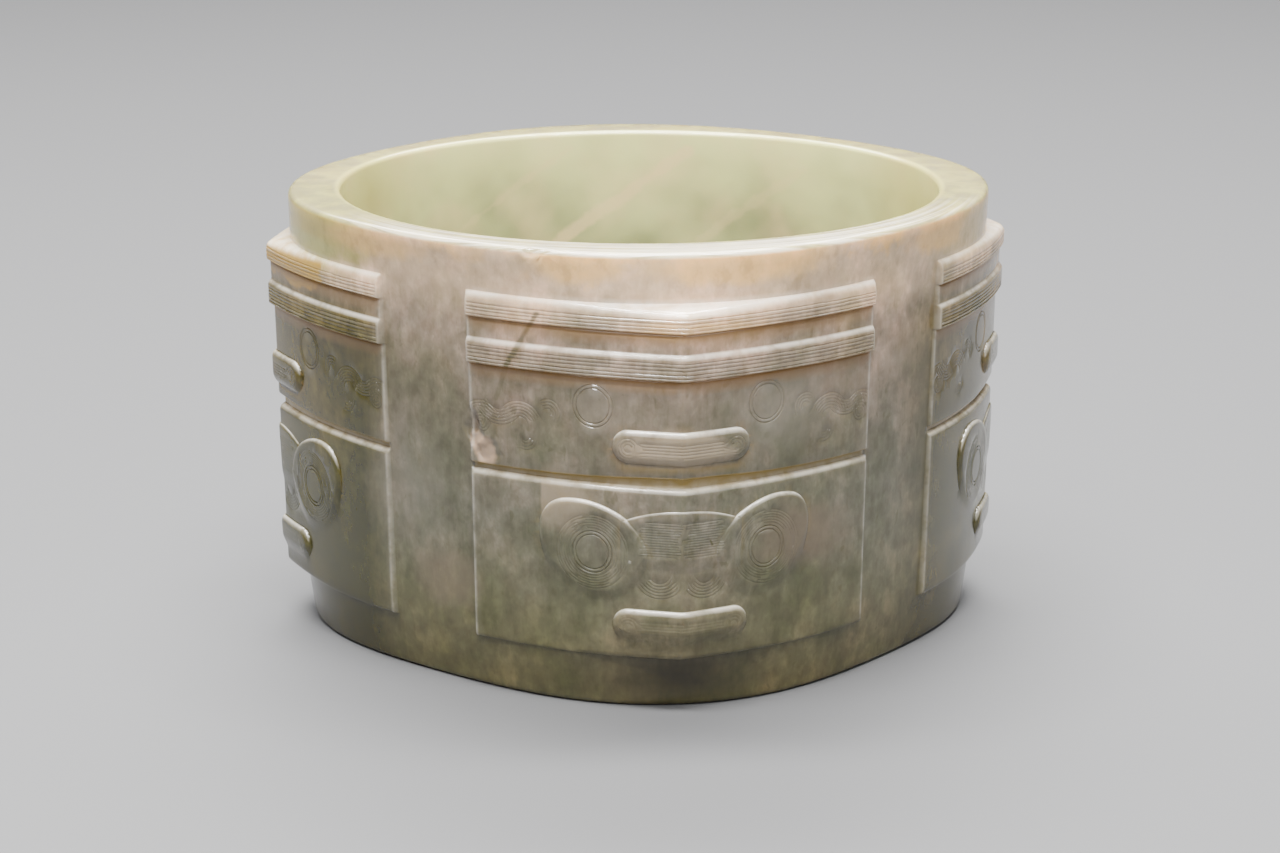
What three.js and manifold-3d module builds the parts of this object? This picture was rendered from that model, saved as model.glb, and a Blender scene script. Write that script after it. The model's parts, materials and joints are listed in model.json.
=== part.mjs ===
// A jade cong: a squat tube, round within and nearly square without, carved from one piece of stone.
// Four corner blocks stand proud of the tube, each cut into two registers with a mask across its ridge.
// Millimetres, +Z up. The foot stands on z = 0, the axis of the bore is Z, and the ridges face 45 degrees.
import * as THREE from 'three';
import { mergeVertices } from 'three/addons/utils/BufferGeometryUtils.js';
import Module from 'manifold-3d';

// Heights along the axis, from the foot up.
const height = 52;
const footCollar = 6.1;
const topCollar = 5.5;
const lowerRegister = 19.9;
const registerGroove = 0.8;
const bandHeight = 2.9;
const bandGap = 2.4;

// The tube outside: its radius in the middle of a side, and how much farther it reaches towards a ridge.
const rimSide = 39.8;
const rimGain = 2;
const shoulderSide = 38.6;
const shoulderGain = 3.1;
const ankleSide = 37.2;
const ankleGain = 3.4;
const footSide = 36.4;
const footGain = 3.4;
const rimRound = 0.5;

// The bore is drilled from both ends, so it is narrowest inside, at the waist.
const rimWall = 4.05;
const footWall = 2.6;
const waistStep = 0.4;
const waistHeight = 23;
const boreRound = 0.4;

// Plan of a corner block: how far it stands out of the tube, and the swell of each face over its chord.
const ridgeStand = 2.35;
const sideStand = 0.7;
const blockHalfAngle = THREE.MathUtils.degToRad(35.4);
const faceSwell = 1.2;
const ridgeRound = 0.9;
const blockFlare = 0.024;
const rootInset = 3;

// How far the carving stands above the ground of a face, and how its edges are rounded.
const bandProud = 0.65;
const topBandRound = 0.95;
const secondBandRound = 0.55;
const stripProud = 0.3;
const registerRound = 0.5;
const noseProud = 0.6;
const eyelidProud = 0.5;
const bridgeProud = 0.4;
const grooveDepth = 0.7;

// The masks, measured along a face from its ridge and up from the foot. The lid's points lie around its eye.
const noseHalfLength = 8.1;
const noseHeight = 3.9;
const upperNoseRise = 30.7;
const lowerNoseRise = 10.1;
const upperEye = new THREE.Vector2(10.3, 34.9);
const lowerEye = new THREE.Vector2(10.35, 18.3);
const eyeRingRadius = 2.25;
const eyeRingWidth = 0.5;
const eyeRingDepth = 0.28;
const eyelidPoints = [
  [-6.4, 0.3], [-4.1, 3.8], [0.2, 5.7], [4.2, 5.4], [5.7, 2.7],
  [4.6, -1.9], [1.4, -5.1], [-2.3, -5.4], [-5.1, -3.4],
];
const bridgeHalfLength = 7;
const bridgeLow = 17.2;
const bridgeHigh = 23.6;
const bridgeSag = 1.5;

// Fineness of the facets.
const aroundTube = 64;
const alongFace = 5;
const aroundRidge = 2;
const aroundEyelid = 16;
const aroundRing = 14;
const aroundEnd = 4;
const longestRoundStep = 0.6;

// Heights and radii worked out from the sizes above.
const blockFoot = footCollar;
const blockTop = height - topCollar;
const grooveLow = blockFoot + lowerRegister;
const upperFieldLow = grooveLow + registerGroove;
const topBandLow = blockTop - bandHeight;
const secondBandTop = topBandLow - bandGap;
const secondBandLow = secondBandTop - bandHeight;
const midHeight = (blockFoot + blockTop) / 2;
const boreTop = rimSide - rimWall;
const boreFoot = footSide - footWall;
const boreWaist = Math.min(boreTop, boreFoot) - waistStep;
const blockSideRadius = (ankleSide + shoulderSide) / 2 + sideStand;
const ridgeRadius = (ankleSide + ankleGain + shoulderSide + shoulderGain) / 2 + ridgeStand;
const blockRoot = boreWaist - rootInset;

const wasm = await Module();
wasm.setup();

/** A closed solid, ready to be joined and cut, from the faces of a closed geometry. */
function solidOf(geometry) {
  const bare = geometry.index ? geometry.toNonIndexed() : geometry.clone();
  bare.deleteAttribute('normal');
  bare.deleteAttribute('uv');
  const welded = mergeVertices(bare, 1e-4);
  const corners = [...welded.index.array];
  const faces = [];
  for (let i = 0; i < corners.length; i += 3) {
    const [a, b, c] = corners.slice(i, i + 3);
    if (a !== b && b !== c && c !== a) faces.push(a, b, c);
  }
  return new wasm.Manifold(new wasm.Mesh({
    numProp: 3,
    vertProperties: new Float32Array(welded.attributes.position.array),
    triVerts: new Uint32Array(faces),
  }));
}

/** The geometry of a joined and cut solid. */
function geometryOf(solid) {
  const mesh = solid.getMesh();
  const geometry = new THREE.BufferGeometry();
  geometry.setAttribute('position', new THREE.BufferAttribute(new Float32Array(mesh.vertProperties), 3));
  geometry.setIndex([...mesh.triVerts]);
  return geometry;
}

/** Moves every corner of a geometry by a rule that takes and changes a point. */
function reshape(geometry, rule) {
  const positions = geometry.attributes.position;
  const point = new THREE.Vector3();
  for (let i = 0; i < positions.count; i += 1) {
    rule(point.fromBufferAttribute(positions, i));
    positions.setXYZ(i, point.x, point.y, point.z);
  }
  return geometry;
}

/** A solid turned on the axis of the bore, from its profile of [radius, height] points on that axis. */
function turned(profile) {
  const points = profile.map(([radius, rise]) => new THREE.Vector2(radius, rise));
  return new THREE.LatheGeometry(points, aroundTube).rotateX(Math.PI / 2);
}

/** How much farther the tube reaches towards a ridge than to the middle of a side, at a height. */
function gainAt(rise) {
  const levels = [[0, footGain], [footCollar, ankleGain], [blockTop, shoulderGain], [height, rimGain]];
  const above = Math.max(1, levels.findIndex(([level]) => level >= rise - 1e-6));
  const [[low, lowGain], [high, highGain]] = [levels[above - 1], levels[above]];
  return THREE.MathUtils.mapLinear(rise, low, high, lowGain, highGain);
}

/** The tube as a solid post, its plan a square with swollen sides and soft corners. */
function tubePost() {
  const roundingCut = rimRound * (1 - Math.SQRT1_2);
  const post = turned([
    [0, 0],
    [footSide - rimRound, 0],
    [footSide, rimRound],
    [ankleSide, footCollar],
    [shoulderSide, blockTop],
    [rimSide, height - rimRound],
    [rimSide - roundingCut, height - roundingCut],
    [rimSide - rimRound, height],
    [0, height],
  ]);
  return reshape(post, (point) => {
    const radius = Math.hypot(point.x, point.y);
    if (radius < 1e-6) return;
    const towardsRidge = (1 - Math.cos(4 * Math.atan2(point.y, point.x))) / 2;
    const reach = 1 + (gainAt(point.z) * towardsRidge) / radius;
    point.x *= reach;
    point.y *= reach;
  });
}

/** What the drills took out: two cones that meet at the waist, opened a little at both mouths. */
function boreCore() {
  const past = 1;
  return turned([
    [0, -past],
    [boreFoot + boreRound + past, -past],
    [boreFoot, boreRound],
    [boreWaist, waistHeight],
    [boreTop, height - boreRound],
    [boreTop + boreRound + past, height + past],
    [0, height + past],
  ]);
}

/** The side edge of a corner block in plan, its ridge on +X, standing proud by a distance. */
function sideEdge(proud) {
  const direction = new THREE.Vector2(Math.cos(blockHalfAngle), Math.sin(blockHalfAngle));
  return direction.multiplyScalar(blockSideRadius + proud);
}

/** One face of a corner block in plan, from its side edge to its ridge, standing proud by a distance. */
function facePoints(proud, side) {
  const ridge = new THREE.Vector2(ridgeRadius + proud, 0);
  const edge = sideEdge(proud);
  const chord = edge.clone().sub(ridge);
  const outward = new THREE.Vector2(chord.y, -chord.x).normalize();
  const swollen = ridge.clone().add(edge).multiplyScalar(0.5).addScaledVector(outward, 2 * faceSwell);
  const curve = new THREE.QuadraticBezierCurve(edge, swollen, ridge);
  const last = 1 - ridgeRound / chord.length();
  const steps = Array.from({ length: alongFace + 1 }, (_, i) => curve.getPoint((last * i) / alongFace));
  return steps.map((point) => new THREE.Vector2(point.x, side * point.y));
}

/** The whole plan of a corner block, with its ridge on +X and its root inside the tube. */
function blockPlan(proud) {
  const left = facePoints(proud, -1);
  const right = facePoints(proud, 1).reverse();
  const tip = new THREE.Vector2(ridgeRadius + proud, 0);
  const nose = new THREE.QuadraticBezierCurve(left.at(-1), tip, right[0]).getPoints(aroundRidge).slice(1, -1);
  const root = sideEdge(0).setLength(blockRoot);
  return new THREE.Shape([...left, ...nose, ...right, root, new THREE.Vector2(root.x, -root.y)]);
}

/** A course of the block between two heights, its upper edge rounded over. */
function course(proud, low, high, round) {
  const plan = blockPlan(proud);
  const sharp = new THREE.ExtrudeGeometry(plan, { depth: high - low - round, bevelEnabled: false });
  const body = solidOf(sharp.translate(0, 0, low));
  if (round === 0) return body;
  const soft = new THREE.ExtrudeGeometry(plan, {
    depth: high - low - 2 * round,
    bevelThickness: round,
    bevelSize: round,
    bevelOffset: -round,
    bevelSegments: Math.ceil(round / longestRoundStep),
  });
  return body.add(solidOf(soft.translate(0, 0, low + round)));
}

/** The place of a face: X along it away from the left side edge, Y up, Z out of the stone, from the ridge. */
function faceFrame(side) {
  const edge = sideEdge(0);
  const reach = new THREE.Vector3(edge.x - ridgeRadius, side * edge.y, 0).normalize();
  const along = reach.multiplyScalar(side);
  const up = new THREE.Vector3(0, 0, 1);
  const out = new THREE.Vector3().crossVectors(along, up);
  return new THREE.Matrix4().makeBasis(along, up, out).setPosition(ridgeRadius, 0, 0);
}

/** The place of the ridge, seen from straight ahead of it: X across, Y up, Z out along the diagonal. */
function ridgeFrame() {
  const across = new THREE.Vector3(0, 1, 0);
  const up = new THREE.Vector3(0, 0, 1);
  const out = new THREE.Vector3(1, 0, 0);
  return new THREE.Matrix4().makeBasis(across, up, out).setPosition(ridgeRadius, 0, 0);
}

/** A raised patch of an outline, standing proud of the ground and following the block's own faces. */
function raised(outline, place, proud) {
  const behind = ridgeRadius - blockSideRadius + faceSwell;
  const ahead = proud + 2 * faceSwell;
  const prism = new THREE.ExtrudeGeometry(outline, { depth: behind + ahead, bevelEnabled: false });
  prism.translate(0, 0, -behind).applyMatrix4(place);
  return solidOf(prism).intersect(course(proud, blockFoot, blockTop, 0));
}

/** The outline of a bar with round ends, across the ridge at a height. */
function barOutline(rise) {
  const edge = sideEdge(0);
  const slant = Math.atan2(edge.y, ridgeRadius - edge.x);
  const half = noseHalfLength * Math.sin(slant) - noseHeight / 2;
  const bar = new THREE.Shape();
  bar.absarc(half, rise, noseHeight / 2, -Math.PI / 2, Math.PI / 2);
  bar.absarc(-half, rise, noseHeight / 2, Math.PI / 2, Math.PI * 1.5);
  return new THREE.Shape(bar.getPoints(aroundEnd));
}

/** The egg-shaped lid around an eye of the lower mask, its outer corner drawn up. */
function eyelidOutline(side) {
  const corners = eyelidPoints.map(([along, up]) => {
    return new THREE.Vector3(side * (lowerEye.x + along), lowerEye.y + up, 0);
  });
  const rim = new THREE.CatmullRomCurve3(corners, true).getPoints(aroundEyelid).slice(0, -1);
  return new THREE.Shape(rim.map((point) => new THREE.Vector2(point.x, point.y)));
}

/** The saddle that joins the two lids over the ridge, bowed along its upper edge. */
function bridgeOutline() {
  const saddle = new THREE.Shape();
  saddle.moveTo(-bridgeHalfLength, bridgeLow);
  saddle.lineTo(bridgeHalfLength, bridgeLow);
  saddle.lineTo(bridgeHalfLength, bridgeHigh - bridgeSag);
  saddle.quadraticCurveTo(0, bridgeHigh + bridgeSag, -bridgeHalfLength, bridgeHigh - bridgeSag);
  return new THREE.Shape(saddle.getPoints(aroundEnd));
}

/** The cutter for the ring of an eye: a groove with sloping walls, its bottom under the ground. */
function ringCutter(eye, side, proud) {
  const along = eye.x / sideEdge(0).distanceTo(new THREE.Vector2(ridgeRadius, 0));
  const ground = 4 * faceSwell * along * (1 - along) + proud;
  const above = 1;
  const spread = (eyeRingWidth / 2) * (1 + above / eyeRingDepth);
  const ring = new THREE.LatheGeometry([
    new THREE.Vector2(eyeRingRadius, -eyeRingDepth),
    new THREE.Vector2(eyeRingRadius + spread, above),
    new THREE.Vector2(eyeRingRadius - spread, above),
    new THREE.Vector2(eyeRingRadius, -eyeRingDepth),
  ], aroundRing);
  ring.rotateX(Math.PI / 2).translate(side * eye.x, eye.y, ground);
  return solidOf(ring.applyMatrix4(faceFrame(side)));
}

/** One corner block with its bands, its register groove and both its masks, ridge on +X. */
function cornerBlock() {
  const courses = [
    course(0, blockFoot, grooveLow, registerRound),
    course(-grooveDepth, grooveLow - registerRound, upperFieldLow, 0),
    course(0, upperFieldLow, secondBandLow, 0),
    course(bandProud, secondBandLow, secondBandTop, secondBandRound),
    course(stripProud, secondBandTop, topBandLow, 0),
    course(bandProud, topBandLow, blockTop, topBandRound),
  ];
  const carving = [
    raised(barOutline(upperNoseRise), ridgeFrame(), noseProud),
    raised(barOutline(lowerNoseRise), ridgeFrame(), noseProud),
    raised(bridgeOutline(), ridgeFrame(), bridgeProud),
    ...[-1, 1].map((side) => raised(eyelidOutline(side), faceFrame(side), eyelidProud)),
  ];
  let block = [...courses, ...carving].reduce((whole, piece) => whole.add(piece));
  for (const side of [-1, 1]) {
    block = block.subtract(ringCutter(upperEye, side, 0));
    block = block.subtract(ringCutter(lowerEye, side, eyelidProud));
  }
  return reshape(geometryOf(block), (point) => {
    const spread = 1 + (blockFlare * (point.z - midHeight)) / (blockTop - blockFoot);
    point.x *= spread;
    point.y *= spread;
  });
}

/** The whole cong: the post, a block on each corner, and the bore taken out of them all. */
function cong() {
  let stone = solidOf(tubePost());
  const block = cornerBlock();
  for (let quarter = 0; quarter < 4; quarter += 1) {
    const angle = Math.PI / 4 + (quarter * Math.PI) / 2;
    stone = stone.add(solidOf(block.clone().rotateZ(angle)));
  }
  return geometryOf(stone.subtract(solidOf(boreCore())));
}

/** Polished jade: greyed buff and olive, waxy rather than glassy. */
function jade() {
  return new THREE.MeshStandardMaterial({ color: 0xb0a68f, roughness: 0.32, metalness: 0 });
}

const group = new THREE.Group();
const mesh = new THREE.Mesh(cong(), jade());
mesh.name = 'cong';
group.add(mesh);

export default group;
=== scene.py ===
"""A jade cong: a squat carved tube with four stepped corner blocks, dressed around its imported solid."""
import json
import logging
import math
from collections.abc import Callable
from dataclasses import dataclass, field
from enum import Enum

import bmesh
import bpy
import numpy as np
from mathutils import Matrix, Vector, kdtree, noise
from mathutils.geometry import delaunay_2d_cdt

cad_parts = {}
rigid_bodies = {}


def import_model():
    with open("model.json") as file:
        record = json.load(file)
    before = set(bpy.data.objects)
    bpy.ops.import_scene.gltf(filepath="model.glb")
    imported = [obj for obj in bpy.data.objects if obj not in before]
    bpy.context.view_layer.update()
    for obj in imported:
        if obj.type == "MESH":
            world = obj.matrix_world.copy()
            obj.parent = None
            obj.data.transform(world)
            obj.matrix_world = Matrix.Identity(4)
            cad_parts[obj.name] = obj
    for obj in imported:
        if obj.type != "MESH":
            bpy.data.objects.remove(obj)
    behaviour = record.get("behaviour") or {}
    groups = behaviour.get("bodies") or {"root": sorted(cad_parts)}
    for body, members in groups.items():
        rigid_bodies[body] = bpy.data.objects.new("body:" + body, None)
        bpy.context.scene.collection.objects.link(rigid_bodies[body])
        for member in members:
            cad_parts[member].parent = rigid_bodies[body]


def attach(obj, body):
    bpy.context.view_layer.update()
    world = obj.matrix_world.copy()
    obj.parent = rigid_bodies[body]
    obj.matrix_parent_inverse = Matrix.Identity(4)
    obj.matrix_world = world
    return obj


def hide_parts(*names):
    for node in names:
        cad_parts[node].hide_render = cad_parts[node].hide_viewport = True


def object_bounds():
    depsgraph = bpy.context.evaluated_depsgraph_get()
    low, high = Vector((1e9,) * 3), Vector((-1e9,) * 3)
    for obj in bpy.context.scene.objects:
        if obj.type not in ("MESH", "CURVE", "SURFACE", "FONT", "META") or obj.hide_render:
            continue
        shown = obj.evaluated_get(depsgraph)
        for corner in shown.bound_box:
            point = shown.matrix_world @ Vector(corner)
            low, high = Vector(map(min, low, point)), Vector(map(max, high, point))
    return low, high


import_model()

CAD_BOX = [list(corner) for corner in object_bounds()]
LOG = logging.getLogger("cong")
MM = 0.001
NEAR_HEADING = 38.63
Flat = tuple[float, float]
Place = tuple[float, float, float]
Tint = tuple[float, float, float]
Rule = Callable[[Vector], Vector]


class Side(Enum):
    """The two faces of a corner block, left and right of its ridge."""

    LEFT = -1
    RIGHT = 1


def arc(centre: Flat, radius: float, start: float, end: float, step: float = 0.3) -> np.ndarray:
    """Lays points along an arc.

    Args:
        centre: Middle of the arc, in face millimetres.
        radius: Radius in millimetres.
        start: First angle in degrees, counted from along the face.
        end: Last angle in degrees.
        step: Longest distance between points in millimetres.

    Returns:
        The points, one row each.
    """
    count = max(3, int(math.ceil(abs(math.radians(end - start)) * radius / step)) + 1)
    angle = np.radians(np.linspace(start, end, count))
    return np.column_stack([centre[0] + radius * np.cos(angle), centre[1] + radius * np.sin(angle)])


def ring(centre: Flat, radius: float, squash: float = 1.0, step: float = 0.28) -> np.ndarray:
    """Lays points around a closed ring.

    Args:
        centre: Middle of the ring, in face millimetres.
        radius: Radius along the face in millimetres.
        squash: Height of the ring over its width.
        step: Longest distance between points in millimetres.

    Returns:
        The points, one row each, without a repeat of the first.
    """
    count = max(12, int(math.ceil(math.tau * radius / step)))
    angle = np.linspace(0, math.tau, count, endpoint=False)
    return np.column_stack([centre[0] + radius * np.cos(angle), centre[1] + squash * radius * np.sin(angle)])


def spiral(centre: Flat, outer: float, pitch: float, turns: float, start: float) -> np.ndarray:
    """Lays points along a spiral that winds inwards.

    Args:
        centre: Middle of the spiral, in face millimetres.
        outer: Radius of its outer end in millimetres.
        pitch: Distance between its turns in millimetres.
        turns: How many turns it makes; a negative number winds the other way.
        start: Angle of its outer end in degrees.

    Returns:
        The points, one row each.
    """
    points_a_turn = 22
    share = np.linspace(0, 1, int(abs(turns) * points_a_turn) + 2)
    radius = outer - pitch * abs(turns) * share
    angle = math.radians(start) + math.tau * turns * share
    return np.column_stack([centre[0] + radius * np.cos(angle), centre[1] + radius * np.sin(angle)])


def outward_normals(points: np.ndarray, closed: bool) -> np.ndarray:
    """Finds unit normals of a chain of points, to the right of its direction.

    Args:
        points: The chain, one point a row.
        closed: Whether the last point joins the first.

    Returns:
        One unit normal a row.
    """
    if closed:
        along = np.roll(points, -1, axis=0) - np.roll(points, 1, axis=0)
    else:
        along = np.gradient(points, axis=0)
    along /= np.maximum(np.linalg.norm(along, axis=1, keepdims=True), 1e-9)
    return np.column_stack([along[:, 1], -along[:, 0]])


def nearest_on_chain(
    points: np.ndarray, chain: np.ndarray, closed: bool
) -> tuple[np.ndarray, np.ndarray, np.ndarray]:
    """Finds the nearest place on a chain of segments.

    Args:
        points: The points to measure, one a row.
        chain: The chain's corners, one a row.
        closed: Whether the last corner joins the first.

    Returns:
        For each point the distance, the number of the nearest segment and the share along it.
    """
    start = chain if closed else chain[:-1]
    run = (np.roll(chain, -1, axis=0) if closed else chain[1:]) - start
    offset = points[:, None, :] - start[None, :, :]
    share = np.clip((offset * run).sum(axis=2) / np.maximum((run * run).sum(axis=1), 1e-12), 0, 1)
    away = np.linalg.norm(offset - share[..., None] * run, axis=2)
    nearest = away.argmin(axis=1)
    each = np.arange(len(points))
    return away[each, nearest], nearest, share[each, nearest]


def inside_outline(points: np.ndarray, outline: np.ndarray) -> np.ndarray:
    """Tells which points lie inside a closed outline.

    Args:
        points: The points to test, one a row.
        outline: The outline's corners, one a row.

    Returns:
        True for each point inside.
    """
    inside = np.zeros(len(points), dtype=bool)
    for (x0, y0), (x1, y1) in zip(outline, np.roll(outline, -1, axis=0)):
        if y0 == y1:
            continue
        crosses = (points[:, 1] > y0) != (points[:, 1] > y1)
        inside ^= crosses & (points[:, 0] < (x1 - x0) * (points[:, 1] - y0) / (y1 - y0) + x0)
    return inside


@dataclass(frozen=True)
class Stroke:
    """One incised line on a face: a groove with sloping walls, in face millimetres."""

    points: np.ndarray
    depth: float = 0.06
    half_width: float = 0.09
    closed: bool = False

    def chains(self) -> list[np.ndarray]:
        """Lays out the chains that the mesh has to follow.

        Returns:
            The groove's bottom and both its lips.
        """
        normals = outward_normals(self.points, self.closed) * self.half_width
        chains = [self.points, self.points + normals, self.points - normals]
        if self.closed:
            chains = [np.vstack([chain, chain[:1]]) for chain in chains]
        return chains

    def cut(self, points: np.ndarray) -> np.ndarray:
        """Measures how deep the groove is at some points.

        Args:
            points: Places on the face, one a row.

        Returns:
            The depth at each point in millimetres, 0 outside the groove.
        """
        depth = np.zeros(len(points))
        reach = self.half_width
        low, high = self.points.min(axis=0) - reach, self.points.max(axis=0) + reach
        near = np.flatnonzero(((points >= low) & (points <= high)).all(axis=1))
        if len(near):
            distance, _, _ = nearest_on_chain(points[near], self.points, self.closed)
            depth[near] = self.depth * np.clip(1 - distance / reach, 0, 1)
        return depth


@dataclass(frozen=True)
class Raised:
    """A form that stands proud of a face: a closed outline, its height and its rounded edge, in millimetres.

    The edge is crisp on the upper side. Underneath it is wider by the factor `under` and fades softly away.
    The share `fall` tells how much lower the form stands at its foot than at its head.
    """

    outline: np.ndarray
    proud: float
    rounding: float
    under: float = 1.0
    fall: float = 0.0
    shares: tuple[float, ...] = (0.0, 0.08, 0.22, 0.42, 0.68, 1.0)

    def inward(self) -> np.ndarray:
        """Finds which way the form lies.

        Returns:
            One unit normal of the outline a row, pointing into the form.
        """
        normals = outward_normals(self.outline, True)
        centre = self.outline.mean(axis=0)
        return normals * np.sign(((centre - self.outline) * normals).sum())

    def softness(self) -> np.ndarray:
        """Tells how soft the edge is at each corner of the outline, from 0 above to 1 underneath."""
        lift = self.inward()[:, 1]
        return np.clip((lift - 0.05) / 0.7, 0, 1) * min(1.0, self.under - 1)

    def reach(self) -> np.ndarray:
        """Gives the width of the rounded edge at each corner of the outline."""
        return self.rounding * (1 + (self.under - 1) * np.clip(self.inward()[:, 1], 0, 1))

    def chains(self) -> list[np.ndarray]:
        """Lays out the closed chains that the mesh has to follow.

        Returns:
            The outline and the lines of its rounded edge.
        """
        step = self.inward() * self.reach()[:, None]
        rows = [self.outline + step * share for share in self.shares]
        return [np.vstack([row, row[:1]]) for row in rows]

    def height(self, points: np.ndarray) -> np.ndarray:
        """Measures how high the form stands at some points.

        Args:
            points: Places on the face, one a row.

        Returns:
            The height at each point in millimetres, 0 outside the outline.
        """
        height = np.zeros(len(points))
        low, high = self.outline.min(axis=0), self.outline.max(axis=0)
        near = np.flatnonzero(((points >= low) & (points <= high)).all(axis=1))
        near = near[inside_outline(points[near], self.outline)] if len(near) else near
        if len(near):
            depth, corner, share = nearest_on_chain(points[near], self.outline, True)
            following = (corner + 1) % len(self.outline)
            reach, soft = (
                values[corner] * (1 - share) + values[following] * share
                for values in (self.reach(), self.softness())
            )
            inner = np.clip(depth / reach, 0, 1)
            crisp = np.sqrt(np.clip(1 - (1 - inner) ** 2, 0, 1))
            smooth = inner**2 * (3 - 2 * inner)
            sunk = self.fall * (high[1] - points[near, 1]) / (high[1] - low[1])
            height[near] = self.proud * (1 - sunk) * (crisp * (1 - soft) + smooth * soft)
        return height


@dataclass(frozen=True)
class Tube:
    """The plain tube: height, outside radii at four levels, and the bore. All in millimetres."""

    height: float = (CAD_BOX[1][2] - CAD_BOX[0][2]) / MM
    foot_collar: float = 6.1
    top_collar: float = 5.5
    sides: tuple[float, ...] = (36.4, 37.2, 38.6, 39.8)
    gains: tuple[float, ...] = (3.4, 3.4, 3.1, 2.0)
    softening: float = 2.4
    rim_rounding: float = 0.7
    mouth_rounding: float = 0.6
    bore_top: float = 35.75
    bore_waist: float = 33.4
    bore_foot: float = 33.8
    waist_height: float = 23.0

    @property
    def block_top(self) -> float:
        """Height at which the upper collar rises out of the blocks."""
        return self.height - self.top_collar

    def levelled(self, values: tuple[float, ...], rise: np.ndarray) -> np.ndarray:
        """Blends values given at the four levels, softened so that no crease shows.

        Args:
            values: One value for the foot, the ankle, the shoulder and the rim.
            rise: Heights over the foot in millimetres.

        Returns:
            The blended value at each height.
        """
        levels = np.array([0.0, self.foot_collar, self.block_top, self.height])
        found = np.zeros_like(rise, dtype=float)
        slopes = np.diff(values) / np.diff(levels)
        offsets = np.linspace(-self.softening, self.softening, 9)
        for offset in offsets:
            at = rise + offset
            found += np.interp(at, levels, values)
            found += np.where(at < 0, slopes[0] * at, 0)
            found += np.where(at > self.height, slopes[-1] * (at - self.height), 0)
        return found / len(offsets)

    def radius(self, turn: np.ndarray, rise: np.ndarray) -> np.ndarray:
        """Finds the outside radius of the tube.

        Args:
            turn: Angles from the nearest ridge in radians.
            rise: Heights over the foot in millimetres.

        Returns:
            The radius at each place in millimetres.
        """
        towards_ridge = (1 + np.cos(4 * turn)) / 2
        return self.levelled(self.sides, rise) + self.levelled(self.gains, rise) * towards_ridge

    def bore(self, rise: float) -> float:
        """Finds the radius of the bore, soft where its two cones meet at the waist.

        Args:
            rise: Height over the foot in millimetres.

        Returns:
            The radius in millimetres.
        """
        heights = (0.0, self.waist_height, self.height)
        radii = (self.bore_foot, self.bore_waist, self.bore_top)
        spread = (-4.0, -2.0, 0.0, 2.0, 4.0)
        total = 0.0
        for offset in spread:
            total += float(np.interp(rise + offset, heights, radii))
        return total / len(spread)


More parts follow.
